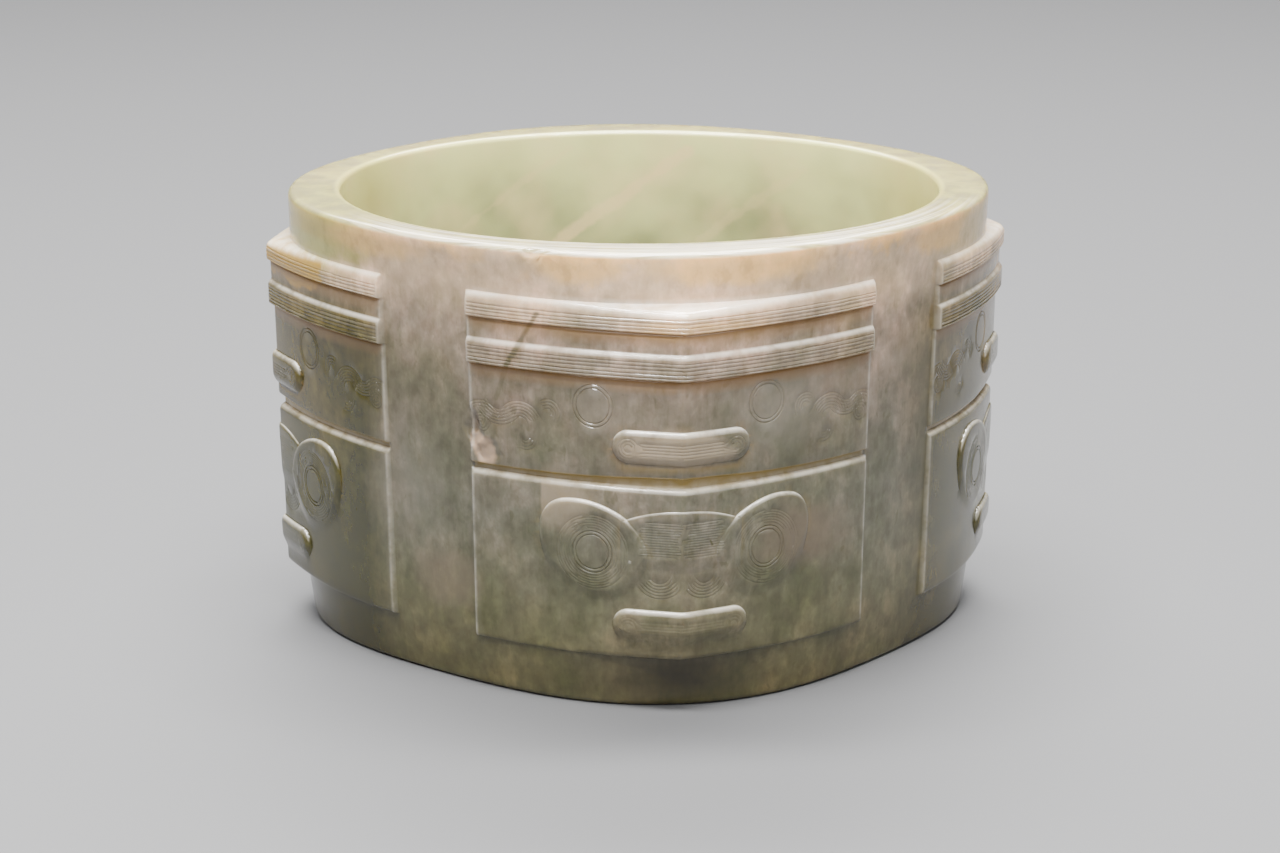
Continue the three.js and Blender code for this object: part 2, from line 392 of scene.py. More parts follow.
@dataclass(frozen=True)
class Block:
    """A corner block: its plan, its courses and its ledges, in millimetres, with the ridge on +X."""

    tube: Tube = Tube()
    ridge_radius: float = 43.5
    side_radius: float = 38.6
    half_angle: float = math.radians(35.4)
    swell: float = 1.2
    ridge_rounding: float = 1.1
    flare: float = 0.024
    wall_columns: tuple[float, ...] = (-0.45, -0.25, -0.1, 0.0, 0.1, 0.2, 0.32, 0.6)
    wall_shares: tuple[float, ...] = (1.0, 0.985, 0.95, 0.86, 0.5, 0.16, 0.05, 0.0)
    top_ledge_drops: tuple[float, ...] = (0.0, 0.16, 0.34, 0.54, 0.78, 1.04, 1.3, 1.55)
    top_ledge_shares: tuple[float, ...] = (0.0, 0.34, 0.6, 0.77, 0.885, 0.955, 0.99, 1.0)
    foot_ledge_rises: tuple[float, ...] = (0.0, 0.05, 0.14, 0.28, 0.5, 0.8)
    foot_ledge_shares: tuple[float, ...] = (0.0, 0.45, 0.76, 0.91, 0.98, 1.0)

    def __post_init__(self) -> None:
        """Works the plan of one face out once, as points and normals along its length."""
        ridge = np.array([self.ridge_radius, 0.0])
        edge = self.side_radius * np.array([math.cos(self.half_angle), math.sin(self.half_angle)])
        chord = edge - ridge
        outward = np.array([chord[1], -chord[0]]) / np.linalg.norm(chord)
        bend = (ridge + edge) / 2 + outward * 2 * self.swell
        share = np.linspace(0, 1, 400)[:, None]
        curve = ridge * (1 - share) ** 2 + bend * 2 * share * (1 - share) + edge * share**2
        lean = math.atan2(bend[1], self.ridge_radius - bend[0])
        start = self.ridge_rounding / math.tan(lean)
        curve = curve[np.linalg.norm(curve - ridge, axis=1) > start]
        angle = np.linspace(0, math.pi / 2 - lean, 30)[:, None]
        middle = np.array([self.ridge_radius - self.ridge_rounding / math.sin(lean), 0.0])
        nose = middle + self.ridge_rounding * np.hstack([np.cos(angle), np.sin(angle)])
        points = np.vstack([nose, curve])
        steps = np.linalg.norm(np.diff(points, axis=0), axis=1)
        normals = outward_normals(points, False)
        normals[0] = (1.0, 0.0)
        object.__setattr__(self, "_along", np.concatenate([[0.0], np.cumsum(steps)]))
        object.__setattr__(self, "_points", points)
        object.__setattr__(self, "_normals", normals)

    @property
    def face_length(self) -> float:
        """Length of one face from its ridge to its side edge."""
        return float(self._along[-1])

    @property
    def channel_half(self) -> float:
        """Half the width of the channel between two blocks, along the tube."""
        return (math.pi / 4 - self.half_angle) * self.side_radius

    @property
    def half_span(self) -> float:
        """Distance along the surface from the ridge to the middle of a channel."""
        return self.face_length + self.channel_half

    def top_ledge(self) -> np.ndarray:
        """Heights of the rows that shape the rounded top ledge."""
        return self.tube.block_top - np.array(self.top_ledge_drops)

    def foot_ledge(self) -> np.ndarray:
        """Heights of the rows that shape the block's under edge."""
        return self.tube.foot_collar + np.array(self.foot_ledge_rises)

    def stand(self, rise: np.ndarray) -> np.ndarray:
        """Tells how far the block has come out of the tube.

        Args:
            rise: Heights over the foot in millimetres.

        Returns:
            0 where the tube is still plain, 1 where the block stands out in full.
        """
        top = np.interp(-rise, -self.top_ledge(), self.top_ledge_shares)
        foot = np.interp(rise, self.foot_ledge(), self.foot_ledge_shares)
        return np.minimum(top, foot)

    def place(self, points: np.ndarray, heights: np.ndarray) -> np.ndarray:
        """Wraps places on the unrolled quarter onto the stone.

        Args:
            points: Places as distance along the surface from the ridge and height over the foot, one a row.
            heights: How far the surface stands above the ground of the face at each place.

        Returns:
            Positions in millimetres, one a row, for a block with its ridge on +X.
        """
        along, rise = points[:, 0], points[:, 1]
        reach, side = np.abs(along), np.where(along < 0, -1.0, 1.0)
        on_face = np.minimum(reach, self.face_length)
        face = np.column_stack([np.interp(on_face, self._along, self._points[:, axis]) for axis in (0, 1)])
        normal = np.column_stack([np.interp(on_face, self._along, self._normals[:, axis]) for axis in (0, 1)])
        normal /= np.linalg.norm(normal, axis=1, keepdims=True)
        beyond = reach - self.face_length
        across_face = np.arctan2(face[:, 1], face[:, 0])
        turn = np.where(beyond > 0, self.half_angle + beyond / self.side_radius, across_face)
        way = np.column_stack([np.cos(turn), np.sin(turn)])
        middle = (self.tube.foot_collar + self.tube.block_top) / 2
        spread = 1 + self.flare * (rise - middle) / (self.tube.block_top - self.tube.foot_collar)
        face = np.where((beyond > 0)[:, None], way * self.side_radius, face) * spread[:, None]
        normal = np.where((beyond > 0)[:, None], way, normal)
        ground = way * self.tube.radius(turn, rise)[:, None]
        out = self.stand(rise) * np.interp(beyond, self.wall_columns, self.wall_shares)
        spot = ground + (face - ground + normal * heights[:, None]) * out[:, None]
        return np.column_stack([spot[:, 0], spot[:, 1] * side, rise])


@dataclass(frozen=True)
class Courses:
    """The courses up a face: bands, the strip between them and the register groove, in millimetres."""

    register_top: float = 26.0
    field_foot: float = 26.8
    band_height: float = 2.9
    band_gap: float = 2.4
    band_proud: float = 0.65
    strip_proud: float = 0.22
    groove_depth: float = 0.7
    ridge_widening: float = 0.5
    upper_line_gap: float = 0.4
    lower_line_gap: float = 0.42

    def profile(self, block_top: float) -> tuple[np.ndarray, np.ndarray]:
        """Gives the height of the face above its ground, from the foot up.

        Args:
            block_top: Height at which the block ends.

        Returns:
            Heights over the foot and, for each, how far the face stands proud there.
        """
        top_low = block_top - self.band_height
        second_top = top_low - self.band_gap
        second_low = second_top - self.band_height
        proud, strip, sunk = self.band_proud, self.strip_proud, -self.groove_depth
        rows = [
            (self.register_top - 0.82, 0.0),
            (self.register_top - 0.62, -0.025),
            (self.register_top - 0.42, -0.1),
            (self.register_top - 0.24, -0.22),
            (self.register_top - 0.1, -0.37),
            (self.register_top, -0.58),
            (self.register_top + 0.1, sunk),
            (self.field_foot - 0.26, sunk),
            (self.field_foot - 0.1, sunk + 0.16),
            (self.field_foot - 0.04, -0.14),
            (self.field_foot + 0.06, -0.03),
            (self.field_foot + 0.2, 0.0),
            (second_low - 0.22, 0.0),
            (second_low - 0.1, -0.05),
            (second_low, -0.03),
            (second_low + 0.06, proud - 0.14),
            (second_low + 0.14, proud - 0.03),
            (second_low + 0.26, proud),
            (second_top - 0.72, proud),
            (second_top - 0.52, proud - 0.025),
            (second_top - 0.34, proud - 0.09),
            (second_top - 0.17, proud - 0.19),
            (second_top - 0.03, proud - 0.32),
            (second_top + 0.08, strip + 0.02),
            (second_top + 0.18, strip),
            (top_low - 0.2, strip),
            (top_low - 0.09, strip - 0.06),
            (top_low, strip - 0.04),
            (top_low + 0.06, proud - 0.12),
            (top_low + 0.14, proud - 0.03),
            (top_low + 0.26, proud),
        ]
        heights, stands = zip(*rows)
        return np.array(heights), np.array(stands)

    def band_lines(self, block_top: float) -> list[float]:
        """Spaces the fine lines up both bands.

        Args:
            block_top: Height at which the block ends.

        Returns:
            Height of each line over the foot.
        """
        top_low = block_top - self.band_height
        second_low = top_low - self.band_gap - self.band_height
        upper = [top_low + 0.36 + self.upper_line_gap * step for step in range(4)]
        lower = [second_low + 0.4 + self.lower_line_gap * step for step in range(5)]
        return lower + upper


@dataclass(frozen=True)
class Mask:
    """Both masks of a corner: raised lids, saddle and noses, and their incised lines, in face millimetres."""

    nose_half: float = 8.1
    nose_height: float = 3.9
    nose_proud: float = 0.6
    nose_rounding: float = 0.95
    upper_nose: float = 30.65
    lower_nose: float = 10.1
    upper_eye: Flat = (10.3, 34.9)
    lower_eye: Flat = (10.35, 18.3)
    ring_radii: tuple[float, ...] = (2.32, 1.92)
    lid_proud: float = 0.5
    lid_rounding: float = 0.68
    lid_points: tuple[Flat, ...] = (
        (-6.4, 0.3), (-4.1, 3.9), (0.2, 5.8), (4.2, 5.5), (6.0, 2.7),
        (5.2, -1.9), (1.9, -5.3), (-2.3, -5.8), (-5.1, -3.4),
    )
    left_lid_reach: float = 1.07
    saddle_half: float = 7.0
    saddle_low: float = 16.3
    saddle_high: float = 23.6
    saddle_drop: float = 1.5
    saddle_proud: float = 0.24
    line_pitch: float = 0.35
    fine_pitch: float = 0.3
    fine_half: float = 0.075
    lid_line_depth: float = 0.028
    scroll_depth: float = 0.036
    curl_middle: Flat = (24.1, 31.6)
    dip_middle: Flat = (21.8, 34.9)
    hump_middle: Flat = (19.1, 31.7)
    hook_middle: Flat = (15.6, 33.6)
    drop_middle: Flat = (18.4, 30.6)
    bow_middle: Flat = (2.7, 16.3)
    nose_curl: float = 6.1

    def sided(self, middle: Flat, side: Side) -> Flat:
        """Sets a place on the left or the right face."""
        return (side.value * middle[0], middle[1])

    def lid(self, side: Side) -> np.ndarray:
        """Rounds the lid's few corner points into an egg with its outer corner drawn up.

        Args:
            side: The face that it lies on.

        Returns:
            The outline, one point a row.
        """
        corners = np.array(self.lid_points)
        corners[:, 0] *= np.where((corners[:, 0] > 0) & (side is Side.LEFT), self.left_lid_reach, 1.0)
        corners += np.array(self.lower_eye)
        corners[:, 0] *= side.value
        smooth = []
        for index in range(len(corners)):
            before, start, end, after = (corners[(index + step) % len(corners)] for step in (-1, 0, 1, 2))
            for share in np.linspace(0, 1, 14, endpoint=False):
                smooth.append(0.5 * (
                    2 * start + (end - before) * share
                    + (2 * before - 5 * start + 4 * end - after) * share**2
                    + (3 * start - before - 3 * end + after) * share**3
                ))
        return np.array(smooth)

    def nose(self, rise: float) -> np.ndarray:
        """Draws a bar with round ends across the ridge.

        Args:
            rise: Height of its middle over the foot.

        Returns:
            The outline, one point a row.
        """
        half = self.nose_half - self.nose_height / 2
        right = arc((half, rise), self.nose_height / 2, -90, 90)
        left = arc((-half, rise), self.nose_height / 2, 90, 270)
        across = np.linspace(-half, half, 14)[1:-1]
        low = np.column_stack([across, np.full_like(across, rise - self.nose_height / 2)])
        high = np.column_stack([across[::-1], np.full_like(across, rise + self.nose_height / 2)])
        return np.vstack([low, right, high, left])

    def saddle(self) -> np.ndarray:
        """Draws the saddle between the lids, bowed up along its upper edge.

        Returns:
            The outline, one point a row.
        """
        across = np.linspace(-self.saddle_half, self.saddle_half, 25)
        share = across / self.saddle_half
        high = np.column_stack([across, self.saddle_high - self.saddle_drop * share**2])[::-1]
        low = np.column_stack([across, self.saddle_low + 0.35 * share**2])
        return np.vstack([low, high])

    def raised(self) -> list[Raised]:
        """Lays out everything that stands proud of the masks' ground.

        Returns:
            Both noses, the saddle and both lids.
        """
        forms = [
            Raised(self.nose(self.upper_nose), self.nose_proud, self.nose_rounding, 1.25),
            Raised(self.nose(self.lower_nose), self.nose_proud, self.nose_rounding, 1.7, 0.2),
            Raised(self.saddle(), self.saddle_proud, 0.7, 2.4, 0.35),
        ]
        return forms + [Raised(self.lid(side), self.lid_proud, self.lid_rounding, 3.0, 0.6) for side in Side]

    def eye_rings(self, side: Side) -> list[Stroke]:
        """Cuts the double ring of each pupil.

        Args:
            side: The face that they lie on.

        Returns:
            The rings of the upper and the lower eye.
        """
        depth, half_width, squash = 0.07, 0.1, 1.04
        rings = []
        for eye in (self.upper_eye, self.lower_eye):
            for radius in self.ring_radii:
                line = ring(self.sided(eye, side), radius, squash)
                rings.append(Stroke(line, depth, half_width, True))
        return rings

    def lid_lines(self, side: Side, chance: np.random.Generator) -> list[Stroke]:
        """Cuts the broken rings of fine lines that fill a lid around its pupil.

        Args:
            side: The face that the lid lies on.
            chance: Source of the breaks.

        Returns:
            The broken rings.
        """
        centre = self.sided(self.lower_eye, side)
        strokes = []
        for turn in range(6):
            radius = self.ring_radii[0] + 0.45 + self.fine_pitch * turn
            angle = chance.uniform(0, 40)
            while angle < 345:
                sweep = chance.uniform(60, 130)
                curve = arc(centre, radius, angle, min(angle + sweep, 352), 0.42)
                strokes.append(Stroke(curve, self.lid_line_depth, self.fine_half))
                angle += sweep + chance.uniform(6, 22)
        return strokes

    def outer_scrolls(self, side: Side, chance: np.random.Generator) -> list[Stroke]:
        """Cuts the cloud scrolls between an upper eye and the block's side edge.

        Args:
            side: The face that they lie on.
            chance: Source of the uneven ends.

        Returns:
            A curl at the side edge, then nested dips, humps, hooks and drops towards the eye.
        """
        hand = side.value
        up, down = 90, 270
        curl = self.sided(self.curl_middle, side)
        hook = self.sided(self.hook_middle, side)
        drop = self.sided(self.drop_middle, side)
        strokes = [self.scroll(spiral(curl, 1.3, self.line_pitch, hand * 3.4, 60))]
        for turn in range(3):
            start = up - hand * chance.uniform(30, 42)
            end = up + hand * chance.uniform(40, 60)
            strokes.append(self.scroll(arc(curl, 1.75 + self.line_pitch * turn, start, end)))
        for middle, first, trims, towards, start, end in (
            (self.dip_middle, 1.6, 6, down, 48, 62),
            (self.hump_middle, 1.1, 5, up, 76, 58),
        ):
            for turn in range(6):
                radius = first + self.line_pitch * turn
                trimmed = start + chance.uniform(-trims, trims)
                bow = arc(self.sided(middle, side), radius, towards - hand * trimmed, towards + hand * end)
                strokes.append(self.scroll(bow))
        for turn in range(4):
            radius = 0.5 + self.line_pitch * turn
            strokes.append(Stroke(arc(hook, radius, up - hand * 30, up + hand * 120), 0.035, self.fine_half))
            strokes.append(Stroke(arc(drop, radius, down - 20, down + 70), 0.03, self.fine_half))
        return strokes

    def scroll(self, points: np.ndarray) -> Stroke:
        """Cuts one line of a scroll."""
        return Stroke(points, self.scroll_depth, self.fine_half)

    def nose_lines(self, rise: float, depth: float, chance: np.random.Generator) -> list[Stroke]:
        """Cuts the fine lines inside a nose bar: straight in the middle, curled at the ends.

        Args:
            rise: Height of the bar's middle over the foot.
            depth: Depth of the lines.
            chance: Source of the breaks.

        Returns:
            The straight lines and the curls.
        """
        strokes = []
        for row in range(5):
            height = rise - 0.85 + self.line_pitch * row
            start = -4.6 + chance.uniform(-0.4, 0.4)
            while start < 4.2:
                end = min(start + chance.uniform(1.6, 4.2), 4.7)
                strokes.append(Stroke(self.ruled(start, end, height, chance), depth, self.fine_half))
                start = end + chance.uniform(0.2, 0.6)
        for side in Side:
            middle = self.sided((self.nose_curl, rise - 0.1), side)
            for turn in range(3):
                radius = 0.45 + self.line_pitch * turn
                curl = arc(middle, radius, 90 - side.value * 200, 90 + side.value * 60)
                strokes.append(Stroke(curl, depth, self.fine_half))
        return strokes

    def brow_lines(self, chance: np.random.Generator) -> list[Stroke]:
        """Cuts the faint lines on the saddle and the nested arcs under it.

        Args:
            chance: Source of the uneven ends.

        Returns:
            The lines and the arcs.
        """
        strokes = []
        for row in range(14):
            height = self.saddle_low + 2.0 + self.fine_pitch * row
            for start, end in ((-4.4, -0.4), (0.4, 4.4)):
                first = start + chance.uniform(-0.5, 0.4)
                last = end + chance.uniform(-0.4, 0.5)
                line = self.ruled(first, last, height, chance)
                strokes.append(Stroke(line, self.lid_line_depth, self.fine_half))
        for side in Side:
            for turn in range(6):
                radius = 1.2 + self.line_pitch * turn
                bow = arc(self.sided(self.bow_middle, side), radius, 218, 328)
                strokes.append(Stroke(bow, 0.03, 0.07))
        return strokes

    def ruled(self, start: float, end: float, height: float, chance: np.random.Generator) -> np.ndarray:
        """Draws one hand-ruled line along a face.

        Args:
            start: First place along the face.
            end: Last place along the face.
            height: Its height over the foot.
            chance: Source of its small wander.

        Returns:
            The line's points, one a row.
        """
        count = max(3, int((end - start) / 0.9) + 2)
        along = np.linspace(start, end, count)
        return np.column_stack([along, height + chance.normal(0, 0.012, count)])

    def strokes(self) -> list[Stroke]:
        """Cuts every incised line of both masks, the same on each run.

        Returns:
            All the lines.
        """
        chance = np.random.default_rng(11)
        strokes = []
        for side in Side:
            strokes += self.eye_rings(side) + self.lid_lines(side, chance) + self.outer_scrolls(side, chance)
        for rise, depth in ((self.upper_nose, self.lid_line_depth), (self.lower_nose, 0.016)):
            strokes += self.nose_lines(rise, depth, chance)
        return strokes + self.brow_lines(chance)


@dataclass
class CornerSkin:
    """The carved skin of one quarter, unrolled, cut up along its lines and wrapped round its block."""

    block: Block = field(default_factory=Block)
    courses: Courses = field(default_factory=Courses)
    mask: Mask = field(default_factory=Mask)
    cell: float = 1.05
    clearance: float = 0.3

    def __post_init__(self) -> None:
        """Collects the forms and lines once, because every later step asks for them."""
        self.forms = self.mask.raised()
        self.lines = self.mask.strokes() + self.band_strokes()

    def band_strokes(self) -> list[Stroke]:
        """Cuts the fine lines along the bands, broken here and there as by hand.

        Returns:
            The lines of both bands.
        """
        chance = np.random.default_rng(5)
        limit = self.block.face_length - 0.3
        strokes = []
        for height in self.courses.band_lines(self.block.tube.block_top):
            start = -limit
            while start < limit - 1:
                end = min(start + chance.uniform(9, 24), limit)
                deep = chance.uniform(0.05, 0.085)
                line = self.mask.ruled(start, end, height + chance.normal(0, 0.015), chance)
                strokes.append(Stroke(line, deep, 0.1))
                start = end + chance.uniform(0.15, 0.5)
        return strokes

    def columns(self) -> np.ndarray:
        """Sets the columns of the mesh out over the block.

        Returns:
            Their places along the face: even on the faces, close at the ridge and at the side walls.
        """
        length = self.block.face_length
        ridge = np.linspace(0, 0.52, 4)
        even = np.linspace(ridge[-1], length - 0.45, int(length / self.cell) + 1)
        wall = length + np.array(self.block.wall_columns)
        right = np.unique(np.round(np.concatenate([ridge, even, wall]), 5))
        return np.concatenate([-right[:0:-1], right])

    def rows(self) -> np.ndarray:
        """Heights of the rows that shape the ledges and the courses."""
        rows, _ = self.courses.profile(self.block.tube.block_top)
        return np.unique(np.round(np.concatenate([rows, self.block.top_ledge(), self.block.foot_ledge()]), 5))

    def chains(self) -> list[np.ndarray]:
        """Collects every line that the mesh has to follow.

        Returns:
            The lines on the unrolled quarter, one chain each.
        """
        columns, rows = self.columns(), self.rows()
        chains = [np.column_stack([columns, np.full_like(columns, row)]) for row in rows]
        length = self.block.face_length
        low, high = rows[0], rows[-1]
        upright = np.linspace(low, high, int((high - low) / self.cell) + 1)
        close = [place for place in columns if abs(place) < 0.6 or abs(place) > length - 0.5]
        chains += [np.column_stack([np.full_like(upright, place), upright]) for place in close]
        for form in self.forms:
            chains += form.chains()
        for stroke in self.lines:
            chains += stroke.chains()
        return chains

    def border(self) -> np.ndarray:
        """Draws the closed edge of the unrolled quarter, alike on its left and right.

        Returns:
            The edge's points, one a row.
        """
        span, tube = self.block.half_span, self.block.tube
        low, high = tube.rim_rounding, tube.height - tube.rim_rounding
        across = np.linspace(-span, span, 2 * int(span / self.cell) + 1)
        up = np.linspace(low, high, int((high - low) / self.cell) + 1)
        bottom = np.column_stack([across, np.full_like(across, low)])
        right = np.column_stack([np.full_like(up, span), up])
        top = (bottom * (1, 0) + (0, high))[::-1]
        left = (right * (-1, 1))[::-1]
        return np.vstack([side[:-1] for side in (bottom, right, top, left)])

    def fill(self, chains: list[np.ndarray]) -> np.ndarray:
        """Scatters an even grid of places wherever no line runs close by.

        Args:
            chains: The lines that the mesh follows.

        Returns:
            The places, one a row.
        """
        taken = np.vstack([self.closely(chain) for chain in chains])
        tree = kdtree.KDTree(len(taken))
        for index, (along, rise) in enumerate(taken):
            tree.insert((along, rise, 0), index)
        tree.balance()
        border = self.border()
        low, high = border[:, 1].min(), border[:, 1].max()
        across = np.unique(np.concatenate([self.columns(), border[border[:, 1] == low][:, 0]]))
        keep_apart = np.concatenate([[True], np.diff(across) > 0.14])
        places = []
        for rise in np.linspace(low, high, int((high - low) / self.cell) + 1)[1:-1]:
            for along in across[keep_apart]:
                if abs(along) < self.block.half_span - 0.3:
                    if tree.find((along, rise, 0))[2] > self.clearance:
                        places.append((along, rise))
        return np.array(places)

    def closely(self, chain: np.ndarray) -> np.ndarray:
        """Adds points to a chain so that none lie further apart than the clearance.

        Args:
            chain: The chain's corners, one a row.

        Returns:
            The chain with the points added.
        """
        pieces = []
        for start, end in zip(chain[:-1], chain[1:]):
            count = max(1, int(math.ceil(np.linalg.norm(end - start) / self.clearance)))
            pieces.append(start + (end - start) * np.linspace(0, 1, count, endpoint=False)[:, None])
        return np.vstack([*pieces, chain[-1:]])

    def triangulate(self) -> tuple[np.ndarray, list[list[int]]]:
        """Cuts the unrolled quarter into triangles along all its lines.

        Returns:
            The places, one a row, and the corners of each triangle.
        """
        chains = self.chains()
        border = self.border()
        places = [tuple(point) for point in self.fill(chains)]
        edges = []
        for chain in [np.vstack([border, border[:1]]), *chains]:
            start = len(places)
            places += [tuple(point) for point in chain]
            edges += [(start + step, start + step + 1) for step in range(len(chain) - 1)]
        found = delaunay_2d_cdt([Vector(place) for place in places], edges, [], 0, 2e-4, False)
        return np.array([(spot.x, spot.y) for spot in found[0]]), [list(face) for face in found[2]]

    def heights(self, places: np.ndarray) -> np.ndarray:
        """Measures how far the carved face stands above its ground.

        Args:
            places: Places on the unrolled quarter, one a row.

        Returns:
            The height at each place in millimetres.
        """
        rows, stands = self.courses.profile(self.block.tube.block_top)
        height = np.interp(places[:, 1], rows, stands, left=0.0)
        relief = np.zeros(len(places))
        for form in self.forms:
            relief = np.maximum(relief, form.height(places))
        cut = np.zeros(len(places))
        for stroke in self.lines:
            cut = np.maximum(cut, stroke.cut(places))
        return height + relief - cut

    def build(self) -> bpy.types.Object:
        """Makes the quarter's mesh, with marks for painted shade in its recesses and for pale wear with
        painted highlight on its edges.

        Returns:
            The quarter, with its ridge on +X.
        """
        places, faces = self.triangulate()
        spots = self.block.place(self.widened(places), self.heights(places)) * MM
        mesh = bpy.data.meshes.new("quarter")
        mesh.from_pydata([tuple(spot) for spot in spots], [], faces)
        facing = np.array([vertex.normal.z for vertex in mesh.vertices])
        # Marks for painted shade in the recesses and for pale wear with painted highlight on up-facing edges.
        for name, values in (("painted_shade", self.painted_shade(places)), ("wear_and_highlight", self.wear_and_highlight(places, facing))):
            marks = mesh.attributes.new(name, "FLOAT", "POINT")
            marks.data.foreach_set("value", values.astype(np.float32))
        quarter = bpy.data.objects.new("quarter", mesh)
        bpy.context.collection.objects.link(quarter)
        return quarter

    def widened(self, places: np.ndarray) -> np.ndarray:
        """Draws the upper lip of the register groove up towards the ridge, where the cut runs wider.

        Args:
            places: Places on the unrolled quarter, one a row.

        Returns:
            The same places with the rows above the groove moved.
        """
        lip = self.courses.field_foot
        share = np.interp(places[:, 1], (lip - 0.7, lip - 0.26, lip + 0.3, lip + 1.9), (0, 1, 1, 0))
        lift = self.courses.ridge_widening * share * np.exp(-(places[:, 0] / 9.0) ** 2)
        return places + np.column_stack([np.zeros(len(places)), lift])

    def painted_shade(self, places: np.ndarray) -> np.ndarray:
        """Marks where shade is painted: under the bands, in the groove and below the raised forms, with a
        painted shadow under the ridge at the foot.

        Args:
            places: Places on the unrolled quarter, one a row.

        Returns:
            How much painted shade each place takes, from 0 to 1.
        """
        along, rise = np.abs(places[:, 0]), places[:, 1]
        top_low = self.block.tube.block_top - self.courses.band_height
        second_low = top_low - self.courses.band_gap - self.courses.band_height
        painted_shade = np.zeros(len(places))
        # Painted shade under both bands and in the register groove.
        groove = self.courses.field_foot - 0.1
        for low, above, below in ((top_low, 0.2, 1.3), (second_low, 0.2, 1.2), (groove, 0.3, 1.1)):
            drop = low - rise
            painted_shade = np.maximum(painted_shade, np.where(drop > 0, 1 - (drop / below) ** 2, 1 + drop / above))
        painted_shade = np.clip(painted_shade, 0, 1) * (along < self.block.face_length) * np.interp(along, (8, 26), (1, 0.6))
        # Painted shade below each raised form.
        for form in self.forms:
            under = places + np.array([0.0, 0.45])
            away, _, _ = nearest_on_chain(under, form.outline, True)
            shade = np.interp(rise, (24, 28), (0.2, 0.45)) * np.clip(1 - away / 0.75, 0, 1)
            painted_shade = np.maximum(painted_shade, shade * ~inside_outline(places, form.outline))
        # Painted shadow under the ridge's overhang, on the collar at the foot.
        foot = self.block.tube.foot_collar
        shadow_under_ridge = np.clip(1.3 - np.abs(rise - foot + 2.6) / 3.4, 0, 1)
        return np.maximum(painted_shade, shadow_under_ridge * np.interp(along, (2, 14), (1, 0.05)))

    def wear_and_highlight(self, places: np.ndarray, facing: np.ndarray) -> np.ndarray:
        """Tells where the stone is paled, partly by handling and partly as a painted highlight: on edges that
        face up and down the sides of the block.

        Args:
            places: Places on the unrolled quarter, one a row.
            facing: How far the surface faces up at each place.

        Returns:
            How pale each place is, from 0 to 1.
        """
        for form in self.forms:
            away, _, _ = nearest_on_chain(places, form.outline, True)
            facing = np.where(away < 0.03, 0.0, facing)
        side = np.clip(1 - np.abs(np.abs(places[:, 0]) - self.block.face_length + 0.1) / 0.4, 0, 1)
        standing = self.block.stand(places[:, 1])
        # Up-facing edges and the block's side edges get pale wear with a painted highlight.
        return np.clip(np.maximum((facing - 0.2) / 0.5, 0.45 * side * standing), 0, 1)


def only(piece: bpy.types.Object) -> None:
    """Makes one object the only selected and active one.

    Args:
        piece: The object.
    """
    for other in bpy.context.view_layer.objects:
        other.select_set(False)
    piece.select_set(True)
    bpy.context.view_layer.objects.active = piece


def reshape_selected(piece: bpy.types.Object, rule: Rule) -> None:
    """Moves the selected vertices of the object in edit mode by a rule.

    Args:
        piece: The object in edit mode.
        rule: Takes a position in metres and gives the new one.
    """
    mesh = bmesh.from_edit_mesh(piece.data)
    for vertex in mesh.verts:
        if vertex.select:
            vertex.co = rule(vertex.co)
    bmesh.update_edit_mesh(piece.data)


